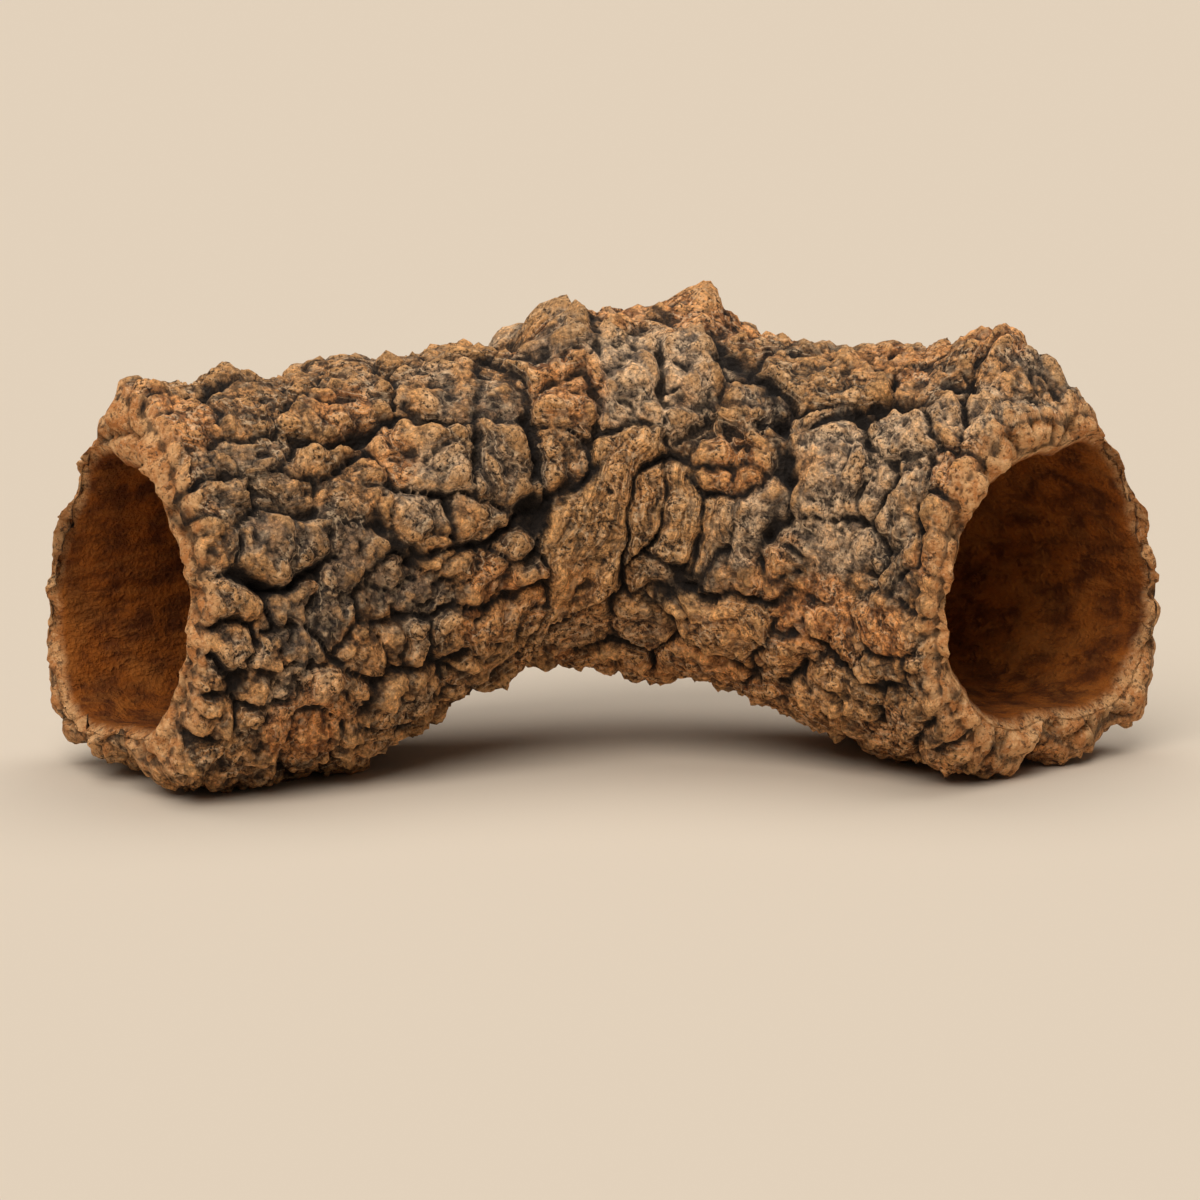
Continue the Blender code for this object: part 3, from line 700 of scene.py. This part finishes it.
def mouth_places(turn):
    """Where the tube starts and ends at each angle round it."""
    start = round_table(CUT_LEFT, turn)
    end = LENGTH - round_table(CUT_RIGHT, turn)
    left_edge = tube(np.zeros(len(turn)), turn)
    right_edge = tube(np.full(len(turn), LENGTH), turn)
    start += 1.2 * noise(left_edge, 16, 61) + 0.8 * noise(left_edge, 7, 62)
    end += 1.2 * noise(right_edge, 16, 63) + 0.8 * noise(right_edge, 7, 64)
    return start, end


def eased(count):
    """Shares from 0 to 1, closer together near both ends."""
    share = np.linspace(0, 1, count)
    return share - 0.06 * np.sin(share * 2 * math.pi)


def rim_rows(first, last, turn, place, side):
    """The broken face between the outside and the inside of a mouth, a row of rounded lumps."""
    ahead = directions_at(np.array([float(place)]), turn[:1])[0]
    rows = []
    for share in np.linspace(0, 1, RIM_ROWS + 2)[1:-1]:
        points = first * (1 - share) + last * share
        arch = math.sin(share * math.pi)
        lumps = nodules(points, RIM_LUMP, RIM_LUMP_SEED) - 0.35
        bulge = arch * (RIM_LUMP_HEIGHT * lumps + 0.8 * noise(points, 7, 81))
        rows.append(points + side * bulge[:, None] * ahead)
    return np.array(rows)


def grid_faces(rows, columns):
    """Four-cornered faces of a grid that closes on itself both ways."""
    row, column = np.meshgrid(np.arange(rows), np.arange(columns), indexing="ij")
    next_row = (row + 1) % rows
    next_column = (column + 1) % columns
    corners = (
        row * columns + column,
        row * columns + next_column,
        next_row * columns + next_column,
        next_row * columns + column,
    )
    return np.stack(corners, axis=-1).reshape(-1, 4)


def patch_share(base, patches, seed):
    """From 0 to 1: how far each point lies within some patches, or within random ones at the back."""
    shown = np.zeros(len(base))
    for place, angle, reach in patches:
        middle = tube(np.array([float(place)]), np.array([math.radians(angle)]))[0]
        squared = ((base - middle) ** 2).sum(axis=1) / reach**2
        shown += np.exp(-(squared**1.5))
    back = np.clip(base[:, 1] - CENTRE[1], 0, 20) / 20
    random = np.clip((noise(base, 27, seed) - 0.1) * 4, 0, 1)
    return np.clip(shown + back * random, 0, 1)


def fine_relief(along, turn, base):
    """The part's relief with the small forms on it, and what the material needs to know."""
    height, swell, crack, warped, pattern = coarse_relief(along, base)
    plates, owner, border, length_way, width_way = pattern
    crumbs = np.abs(noise(warped, 2.8, 54))
    seam = np.exp(-((border / 1.0) ** 2)) * np.clip(0.6 + 0.8 * noise(warped, 20, 59), 0.1, 1)
    detail = 1.5 * (crumbs - MEAN_RIDGE) - 1.2 * seam + 0.35 * noise(base, 1.9, 56)
    rounds = height - swell + 0.8 * detail + 0.6 * noise(base, 12, 55)
    detail -= LAYER * LAYER_STEP / (2 * math.pi) * np.sin(2 * math.pi * rounds / LAYER)
    height += detail

    thin = np.clip(wall(along, turn) / FULL_WALL, 0.6, 1)
    height = np.clip(height * thin, LOWEST, HIGHEST)

    # Painted shade: how dark each point is painted in cracks, plate seams, creases and between lumps.
    creases = np.exp(-((noise(warped, CRUMB, CRUMB_SEED) / 0.07) ** 2))
    creases += 0.7 * np.exp(-((noise(warped, SMALL_CRUMB, SMALL_CRUMB_SEED) / 0.09) ** 2))
    lump = nodules(warped, NODULE, NODULE_SEED)
    low = np.clip(-crack / 5, 0, 1) + 0.7 * seam + 0.25 * creases
    low += 0.5 * np.clip(0.45 - lump, 0, 1)
    tint = np.random.default_rng(9).uniform(0, 1, len(plates))
    marks = {
        "cavity_shade": np.clip(low, 0, 1),
        "rounds": rounds,
        "tint": tint[owner],
        "grain": plates[owner, 6],
        "raised": height,
        "orange": patch_share(warped, ORANGE_PATCHES, 91) + orange_below(along, turn),
        "charcoal": patch_share(warped, CHARCOAL_PATCHES, 92),
        "pale": patch_share(warped, PALE_PATCHES, 93),
        "length_way": length_way,
        "width_way": width_way,
    }
    return height, marks


def orange_below(along, turn):
    """The warmer colour of the underside, from the bend to the wider mouth."""
    below = np.clip(-1.6 * np.cos(turn) - 0.3, 0, 1)
    return ORANGE_BELOW * below * np.clip((along - 60) / 90, 0.25, 1)


def outer_points(along, turn):
    """Points of the crust, and their marks."""
    base = tube(along, turn)
    height, marks = fine_relief(along, turn, base)
    start, end = mouth_places(turn)
    to_mouth = np.minimum(along - start, end - along)
    height -= OUTER_ROUNDING * (1 - rounded(to_mouth, OUTER_ROUNDING))
    height += notches(base, to_mouth)
    marks["to_mouth"] = to_mouth
    marks["kind"] = np.zeros(len(along))
    return tube(along, turn, outward=height), marks


def inner_points(along, turn):
    """Points of the wrinkled inside, and their marks."""
    thickness = wall(along, turn)
    base = tube(along, turn, inward=thickness)
    waves = 1.3 * noise(base, 38, 71) + 0.9 * noise(base, 17, 72)
    waves += 0.6 * noise(base, 8, 73) + 0.35 * np.abs(noise(base, 4, 74))
    waves += 1.1 * np.abs(noise(base * WRINKLE_STRETCH, 6, 75)) - 0.3
    start, end = mouth_places(turn)
    to_mouth = np.minimum(along - start, end - along)
    waves += INNER_ROUNDING * (1 - rounded(to_mouth, INNER_ROUNDING))
    empty = np.zeros(len(along))
    marks = {
        "cavity_shade": empty,
        "rounds": waves,
        "tint": empty,
        "grain": empty,
        "raised": waves,
        "orange": empty,
        "charcoal": empty,
        "pale": empty,
        "length_way": along,
        "width_way": turn * 40,
        "to_mouth": to_mouth,
        "kind": empty + 2,
    }
    return tube(along, turn, inward=thickness, outward=waves), marks


# What each point of the mesh tells the material.
MARKS = (
    "cavity_shade",
    "rounds",
    "tint",
    "grain",
    "raised",
    "orange",
    "charcoal",
    "pale",
    "length_way",
    "width_way",
    "to_mouth",
    "kind",
)


def fine_rim_rows(first, last, turn, place, side):
    """The rim's rows with small pits and grains in them."""
    ahead = directions_at(np.array([float(place)]), turn[:1])[0]
    rows = rim_rows(first, last, turn, place, side)
    for row in rows:
        grains = 1.2 * (np.abs(noise(row, 4.2, 82)) - MEAN_RIDGE)
        grains += 0.8 * (np.abs(noise(row, 2.2, 84)) - MEAN_RIDGE)
        pits = np.clip(noise(row, 3.6, 83) - 0.3, 0, 1)
        row += side * (grains - 3.0 * pits)[:, None] * ahead
    return rows


def rim_marks(first, last, points):
    """Marks of a rim's rows, between those of its two edges, with painted shade in the joints between
    its lumps.
    """
    shares = np.linspace(0, 1, RIM_ROWS + 2)[1:-1]
    rows = []
    for share, places in zip(shares, points):
        row = first * (1 - share) + last * share
        row[:, MARKS.index("kind")] = 1
        lumps = nodules(places, RIM_LUMP, RIM_LUMP_SEED)
        # Painted shade in the joints between the rim's lumps.
        row[:, MARKS.index("cavity_shade")] = np.clip(1 - RIM_JOINT * lumps, 0, 1)
        rows.append(row)
    return np.array(rows)


def blurred(grid, reach):
    """Each value averaged with its neighbours, along the rows and round the columns."""
    total = np.zeros_like(grid)
    for step in range(-reach, reach + 1):
        total += np.roll(grid, step, axis=1)
    padded = np.pad(total, ((reach, reach), (0, 0)), mode="edge")
    total = np.zeros_like(grid)
    for step in range(2 * reach + 1):
        total += padded[step : step + len(grid)]
    return total / (2 * reach + 1) ** 2


def stands_out(height):
    """How far each point stands above what is around it, near by and further off."""
    near = height - blurred(height, 2)
    wide = height - blurred(height, 6)
    return 1.2 * near + 0.6 * wide


def bark_grid():
    """Closed rows of points: the outside left to right, the right rim, the inside, the left rim."""
    turn = np.arange(COLUMNS) * 2 * math.pi / COLUMNS
    start, end = mouth_places(turn)
    blocks = {}
    shares = {"outer": eased(OUTER_ROWS), "inner": eased(INNER_ROWS)[::-1]}
    for kind, points_of in (("outer", outer_points), ("inner", inner_points)):
        count = len(shares[kind])
        along = np.concatenate([start + share * (end - start) for share in shares[kind]])
        points, marks = points_of(along, np.tile(turn, count))
        marks["raised"] = stands_out(marks["raised"].reshape(count, COLUMNS)).ravel()
        table = np.stack([marks[name] for name in MARKS], axis=1)
        blocks[kind] = (points.reshape(count, COLUMNS, 3), table.reshape(count, COLUMNS, -1))
    outer, outer_marks = blocks["outer"]
    inner, inner_marks = blocks["inner"]
    right_rim = fine_rim_rows(outer[-1], inner[0], turn, LENGTH, 1)
    left_rim = fine_rim_rows(inner[-1], outer[0], turn, 0, -1)
    right_marks = rim_marks(outer_marks[-1], inner_marks[0], right_rim)
    left_marks = rim_marks(inner_marks[-1], outer_marks[0], left_rim)
    points = np.concatenate([outer, right_rim, inner, left_rim])
    marks = np.concatenate([outer_marks, right_marks, inner_marks, left_marks])
    return points, marks


class Graph:
    """Short ways to add and join shader nodes."""

    def __init__(self, name):
        self.material = bpy.data.materials.new(name)
        self.material.use_nodes = True
        self.nodes = self.material.node_tree.nodes
        self.links = self.material.node_tree.links
        self.shader = self.nodes["Principled BSDF"]

    def add(self, kind, settings=None, **inputs):
        """A new node with its settings and its inputs."""
        node = self.nodes.new(kind)
        for key, value in (settings or {}).items():
            setattr(node, key, value)
        for key, value in inputs.items():
            self.put(node.inputs[key.replace("_", " ")], value)
        return node

    def put(self, socket, value):
        """Links a socket to the input, or sets a plain value on it."""
        if isinstance(value, bpy.types.NodeSocket):
            self.links.new(value, socket)
        else:
            socket.default_value = value

    def mark(self, name):
        """A value that the mesh holds for each point."""
        return self.add("ShaderNodeAttribute", {"attribute_name": name}).outputs["Fac"]

    def math(self, operation, first, second=0.0, clamp=False):
        """The result of one sum."""
        node = self.nodes.new("ShaderNodeMath")
        node.operation = operation
        node.use_clamp = clamp
        self.put(node.inputs[0], first)
        self.put(node.inputs[1], second)
        return node.outputs[0]

    def span(self, value, low, high, to_low=0.0, to_high=1.0, smooth=True):
        """The value moved from one range to another, and held within it."""
        node = self.nodes.new("ShaderNodeMapRange")
        node.interpolation_type = "SMOOTHSTEP" if smooth else "LINEAR"
        self.put(node.inputs["Value"], value)
        node.inputs["From Min"].default_value = low
        node.inputs["From Max"].default_value = high
        node.inputs["To Min"].default_value = to_low
        node.inputs["To Max"].default_value = to_high
        return node.outputs["Result"]

    def mix(self, share, first, second, blend="MIX"):
        """Two colours mixed, with this share of the second."""
        node = self.nodes.new("ShaderNodeMix")
        node.data_type = "RGBA"
        node.blend_type = blend
        self.put(node.inputs[0], share)
        self.put(node.inputs[6], first)
        self.put(node.inputs[7], second)
        return node.outputs[2]

    def noise(self, place, wavelength, detail=3.0, rough=0.55):
        """Cloudy values from about 0.2 to 0.8, with 0.5 in the middle."""
        node = self.add("ShaderNodeTexNoise", Scale=1.0 / wavelength, Detail=detail)
        node.inputs["Roughness"].default_value = rough
        self.links.new(place, node.inputs["Vector"])
        return node.outputs["Fac"]

    def cells(self, place, size):
        """How far each place is from the middle of its own cell, in a pattern of round cells."""
        node = self.add("ShaderNodeTexVoronoi", Scale=1.0 / size)
        self.links.new(place, node.inputs["Vector"])
        return node.outputs["Distance"]


def millimetres(graph):
    """The place on the object, in millimetres."""
    place = graph.add("ShaderNodeTexCoord").outputs["Object"]
    scale = graph.add("ShaderNodeVectorMath", {"operation": "SCALE"})
    graph.put(scale.inputs[0], place)
    scale.inputs["Scale"].default_value = 1 / MM
    return scale.outputs[0]


def fibre_pattern(g, marks):
    """Thin fibres that run along the plates, and how fibrous each place is."""
    fibre_place = g.add("ShaderNodeCombineXYZ")
    g.put(fibre_place.inputs[0], g.math("DIVIDE", marks["length_way"], FIBRE_LENGTH))
    g.put(fibre_place.inputs[1], g.math("DIVIDE", marks["width_way"], FIBRE_WIDTH))
    g.put(fibre_place.inputs[2], g.math("MULTIPLY", marks["tint"], 40.0))
    fibre = g.noise(fibre_place.outputs[0], 1.0, 3)
    return fibre, g.math("MULTIPLY", marks["grain"], 0.75, clamp=True)


def patchy_crust(g, marks, cloud, fibre, fibrous):
    """Brown crust with grey, charcoal and orange patches, and with fibres."""
    mottle = cloud["mottle"]
    loose = g.math("MULTIPLY", g.math("SUBTRACT", cloud["patch"], 0.5), 2.2)
    crust = g.mix(g.span(mottle, 0.42, 0.61), BARK_DARK, BARK_BROWN)

    grey = g.mix(g.span(mottle, 0.41, 0.60), BARK_SLATE, BARK_GREY)
    by_place = g.span(cloud["broad"], 0.45, 0.65, 0.0, 0.5)
    grey_share = g.math("ADD", g.math("ADD", marks["pale"], loose), by_place)
    crust = g.mix(g.span(grey_share, 0.25, 0.9, 0.0, 0.8), crust, grey)

    dark = g.mix(g.span(mottle, 0.40, 0.66), BARK_CHARCOAL, BARK_SLATE)
    dark_share = g.math("ADD", marks["charcoal"], loose)
    crust = g.mix(g.span(dark_share, 0.25, 0.85, 0.0, 0.85), crust, dark)

    rust = g.mix(g.span(mottle, 0.40, 0.60), BARK_RUST, BARK_ORANGE)
    by_plate = g.span(marks["tint"], 0.7, 1.0, 0.0, 0.35)
    rust_share = g.math("ADD", g.math("ADD", marks["orange"], loose), by_plate)
    crust = g.mix(g.span(rust_share, 0.3, 0.9, 0.0, 0.85), crust, rust)

    fibre_colour = g.mix(g.span(fibre, 0.35, 0.65), BARK_DARK, BARK_TAN_AND_HIGHLIGHT)
    return g.mix(g.math("MULTIPLY", fibrous, 0.6), crust, fibre_colour)


def layer_lines_and_painted_light(g, crust, marks, cloud):
    """The crust with thin lines where growth layers end: painted highlights on their edges and painted
    shade below them.
    """
    shaken = g.math("ADD", marks["rounds"], g.math("MULTIPLY", cloud["mottle"], 1.6))
    wave = g.math("SINE", g.math("MULTIPLY", g.math("DIVIDE", shaken, LAYER), 2 * math.pi))
    lines = g.span(cloud["patch"], 0.42, 0.58)
    # Painted highlight on the edge of each growth layer and painted shade below it.
    layer_edge_highlight = g.math("MULTIPLY", g.span(wave, 0.6, 1.0), lines)
    layer_edge_shade = g.math("MULTIPLY", g.span(wave, -1.0, -0.6, 1.0, 0.0), lines)
    crust = g.mix(g.math("MULTIPLY", layer_edge_highlight, 0.4), crust, BARK_PALE_AND_HIGHLIGHT)
    return g.mix(g.math("MULTIPLY", layer_edge_shade, 0.6), crust, BARK_PITS_AND_SHADE)


def crumbs_and_painted_light(g, crust, place, marks, cloud):
    """The crust with painted highlights on the tops of crumbs and painted shade in the creases between
    them, painted highlight and wear on high places and painted shade in low ones.
    """
    ridge = g.math("ABSOLUTE", g.math("SUBTRACT", g.noise(place, 4.2, 2, 0.5), 0.5))
    # Painted highlight on the tops of the crumbs, painted shade in the creases between them.
    crumb_highlight = g.span(ridge, 0.06, 0.18)
    crease_shade = g.span(ridge, 0.0, 0.03, 1.0, 0.0)
    crust = g.mix(g.math("MULTIPLY", crumb_highlight, 0.18), crust, BARK_PALE_AND_HIGHLIGHT)
    crust = g.mix(g.math("MULTIPLY", crease_shade, 0.6), crust, BARK_PITS_AND_SHADE)
    # Painted highlight, partly wear, on high places, and painted shade in low ones.
    uneven = g.math("MULTIPLY", g.math("SUBTRACT", cloud["mottle"], 0.5), 2.5)
    raised = g.math("ADD", marks["raised"], uneven)
    crust = g.mix(g.span(raised, 0.5, 2.6, 0.0, 0.4), crust, BARK_TAN_AND_HIGHLIGHT)
    return g.mix(g.span(raised, -2.3, 0.0, 0.9, 0.0), crust, BARK_PITS_AND_SHADE)


def speckled(g, crust, cloud):
    """The crust with fine dark pits and pale flecks."""
    speck, patch = cloud["speck"], cloud["patch"]
    pitted = g.math("MULTIPLY", g.span(speck, 0.38, 0.48, 1.0, 0.0), g.span(patch, 0.38, 0.58, 0.4, 0.9))
    flecked = g.math("MULTIPLY", g.span(speck, 0.53, 0.62), g.span(patch, 0.36, 0.56, 0.9, 0.4))
    crust = g.mix(pitted, crust, BARK_PITS_AND_SHADE)
    return g.mix(flecked, crust, g.mix(1.0, crust, FLECK_LIGHTER, "MULTIPLY"))


def rim_colour(g, place, marks, cloud):
    """Broken rims: tan and orange with dark pores, and painted shade in the joints between their lumps.
    """
    speck = cloud["speck"]
    rim_mottle = g.noise(place, 5.0, 4, 0.65)
    rim = g.mix(g.span(rim_mottle, 0.38, 0.62), RIM_ORANGE, RIM_TAN)
    pore = g.span(g.noise(place, 2.2, 3, 0.6), 0.34, 0.44, 1.0, 0.0)
    rim = g.mix(g.math("MULTIPLY", pore, 0.8), rim, BARK_DARK)
    rim = g.mix(g.math("MULTIPLY", g.span(speck, 0.34, 0.46, 1.0, 0.0), 0.6), rim, BARK_PITS_AND_SHADE)
    rim = g.mix(g.math("MULTIPLY", g.span(speck, 0.56, 0.7), 0.35), rim, BARK_PALE_AND_HIGHLIGHT)
    # Painted shade in the joints between the lumps.
    return g.mix(g.span(marks["cavity_shade"], 0.0, 0.8, 0.0, 0.8), rim, BARK_PITS_AND_SHADE)


def inside_streaks(g, place, cloud):
    """Long uneven streaks for the colour and the bumps of the inside."""
    squeezed = g.add("ShaderNodeVectorMath", {"operation": "MULTIPLY"})
    g.put(squeezed.inputs[0], place)
    squeezed.inputs[1].default_value = STREAK_STRETCH
    shaken = g.add("ShaderNodeVectorMath", {"operation": "ADD"})
    g.put(shaken.inputs[0], squeezed.outputs[0])
    g.put(shaken.inputs[1], g.math("MULTIPLY", cloud["mottle"], 7.0))
    return g.noise(shaken.outputs[0], 3.6, 4, 0.6)


def inside_colour(g, place, streak, cloud):
    """The inside: smoother, red-brown and cloudy."""
    inside = g.mix(g.span(g.noise(place, 9.0, 5, 0.6), 0.35, 0.65), INSIDE_DARK, INSIDE_BROWN)
    tan_patch = g.span(cloud["patch"], 0.45, 0.65)
    inside = g.mix(g.math("MULTIPLY", tan_patch, 0.4), inside, INSIDE_TAN)
    tan_streak = g.span(streak, 0.52, 0.64)
    inside = g.mix(g.math("MULTIPLY", tan_streak, 0.3), inside, INSIDE_TAN)
    dark_streak = g.span(streak, 0.34, 0.45, 1.0, 0.0)
    return g.mix(g.math("MULTIPLY", dark_streak, 0.6), inside, INSIDE_DARK)


def add_bumps(g, heights):
    """Fine bumps from several patterns, each with its share of the height."""
    fine = 0.0
    for pattern, share in heights:
        fine = g.math("ADD", fine, g.math("MULTIPLY", pattern, share))
    bump = g.add("ShaderNodeBump")
    bump.inputs["Strength"].default_value = BUMP_STRENGTH
    bump.inputs["Distance"].default_value = BUMP_HEIGHT * MM
    g.put(bump.inputs["Height"], fine)
    g.put(g.shader.inputs["Normal"], bump.outputs[0])


def bark_material():
    """Crust, broken rims and inside, each where the marks of the mesh put it."""
    g = Graph("bark surface")
    place = millimetres(g)
    marks = {name: g.mark(name) for name in MARKS}
    cloud = {
        "broad": g.noise(place, 34, 3),
        "patch": g.noise(place, 13, 4),
        "mottle": g.noise(place, 4.5, 4),
        "speck": g.noise(place, 1.3, 3, 0.7),
    }
    grit = g.cells(place, 1.5)
    fibre, fibrous = fibre_pattern(g, marks)
    streak = inside_streaks(g, place, cloud)

    crust = patchy_crust(g, marks, cloud, fibre, fibrous)
    crust = layer_lines_and_painted_light(g, crust, marks, cloud)
    crust = crumbs_and_painted_light(g, crust, place, marks, cloud)
    crust = speckled(g, crust, cloud)
    # Painted shade in cracks, plate seams, creases and between lumps.
    crust = g.mix(g.span(marks["cavity_shade"], 0.12, 0.8, 0.0, 0.94), crust, BARK_PITS_AND_SHADE)
    rim = rim_colour(g, place, marks, cloud)
    inside = inside_colour(g, place, streak, cloud)

    # The rim's colour runs a little way onto the crust and the inside.
    uneven = g.math("MULTIPLY", g.math("SUBTRACT", cloud["mottle"], 0.5), 9.0)
    near_rim = g.span(g.math("ADD", marks["to_mouth"], uneven), 0.5, 2.5, 1.0, 0.0)
    near_rim = g.math("MULTIPLY", near_rim, g.span(marks["raised"], -2.0, 0.0, 0.3, 1.0))
    crust = g.mix(g.math("MULTIPLY", near_rim, 0.85), crust, rim)
    inside = g.mix(g.span(marks["to_mouth"], 0.5, 3.5, 1.0, 0.0), inside, rim)

    is_rim = g.span(marks["kind"], 0.2, 0.8, smooth=False)
    is_inside = g.span(marks["kind"], 1.2, 1.8, smooth=False)
    colour = g.mix(is_rim, crust, rim)
    g.put(g.shader.inputs["Base Color"], g.mix(is_inside, colour, inside))
    g.put(g.shader.inputs["Roughness"], g.span(cloud["speck"], 0.3, 0.7, 0.98, 0.78))
    g.shader.inputs["Specular IOR Level"].default_value = BARK_SPECULAR
    heights = (
        (cloud["speck"], 0.6),
        (grit, 0.35),
        (cloud["mottle"], 0.9),
        (g.math("MULTIPLY", fibre, fibrous), 1.2),
        (g.math("MULTIPLY", streak, is_inside), 1.8),
    )
    add_bumps(g, heights)
    return g.material


def build_bark():
    """The bark as one closed mesh with its marks and its material."""
    grid, marks = bark_grid()
    points = grid.reshape(-1, 3) - np.array([CENTRE[0], CENTRE[1], 0.0])
    points[:, 2] = np.maximum(points[:, 2], 0.0)
    faces = grid_faces(grid.shape[0], grid.shape[1])
    mesh = bpy.data.meshes.new("bark_surface")
    mesh.from_pydata((points * MM).tolist(), [], faces.tolist())
    table = marks.reshape(-1, len(MARKS))
    for i, name in enumerate(MARKS):
        layer = mesh.attributes.new(name, "FLOAT", "POINT")
        layer.data.foreach_set("value", table[:, i].astype(np.float32))
    mesh.shade_smooth()
    mesh.materials.append(bark_material())
    bark = bpy.data.objects.new("bark_surface", mesh)
    bpy.context.scene.collection.objects.link(bark)
    return bark


def studio_floor():
    """A plain pale sheet, wide enough to fill the view behind the bark too."""
    half = FLOOR_REACH
    corners = [(-half, -half, 0), (half, -half, 0), (half, half, 0), (-half, half, 0)]
    mesh = bpy.data.meshes.new("studio_floor")
    mesh.from_pydata(corners, [], [(0, 1, 2, 3)])
    g = Graph("studio paper")
    g.shader.inputs["Base Color"].default_value = FLOOR_COLOUR
    g.shader.inputs["Roughness"].default_value = FLOOR_ROUGHNESS
    g.shader.inputs["Specular IOR Level"].default_value = 0.0
    mesh.materials.append(g.material)
    floor = bpy.data.objects.new("studio_floor", mesh)
    bpy.context.scene.collection.objects.link(floor)
    return floor


def aim(obj, place, target):
    """Puts the object at a place and turns it towards a target."""
    obj.location = place
    obj.rotation_euler = (Vector(target) - Vector(place)).to_track_quat("-Z", "Y").to_euler()


def soft_light(name, place, strength, spread, colour):
    """A far light with soft edges, shining from `place` towards the middle."""
    light = bpy.data.lights.new(name, "SUN")
    light.energy = strength
    light.angle = math.radians(spread)
    light.color = colour
    obj = bpy.data.objects.new(name, light)
    bpy.context.scene.collection.objects.link(obj)
    aim(obj, place, (0, 0, 0))


def light_the_scene():
    """Weak light all round, a soft light above and a soft one in front on the left."""
    world = bpy.data.worlds.new("studio")
    world.use_nodes = True
    background = world.node_tree.nodes["Background"]
    background.inputs["Color"].default_value = WORLD_COLOUR
    background.inputs["Strength"].default_value = WORLD_STRENGTH
    bpy.context.scene.world = world
    soft_light("overhead", OVERHEAD_PLACE, OVERHEAD_STRENGTH, OVERHEAD_SPREAD, OVERHEAD_COLOUR)
    soft_light("front", FRONT_PLACE, FRONT_STRENGTH, FRONT_SPREAD, FRONT_COLOUR)


def place_camera():
    """A long lens, looking slightly down from the front."""
    camera = bpy.data.cameras.new("camera")
    camera.lens = CAMERA_LENS
    camera.sensor_width = CAMERA_SENSOR
    camera.clip_end = CAMERA_FARTHEST
    obj = bpy.data.objects.new("camera", camera)
    bpy.context.scene.collection.objects.link(obj)
    tilt = math.radians(CAMERA_ELEVATION)
    back = Vector((0.0, -math.cos(tilt), math.sin(tilt))) * CAMERA_DISTANCE
    aim(obj, Vector(CAMERA_TARGET) + back, CAMERA_TARGET)
    bpy.context.scene.camera = obj


bark = build_bark()
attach(bark, "root")
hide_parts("bark")
studio_floor()
light_the_scene()
place_camera()
bpy.context.scene.view_settings.view_transform = "Standard"
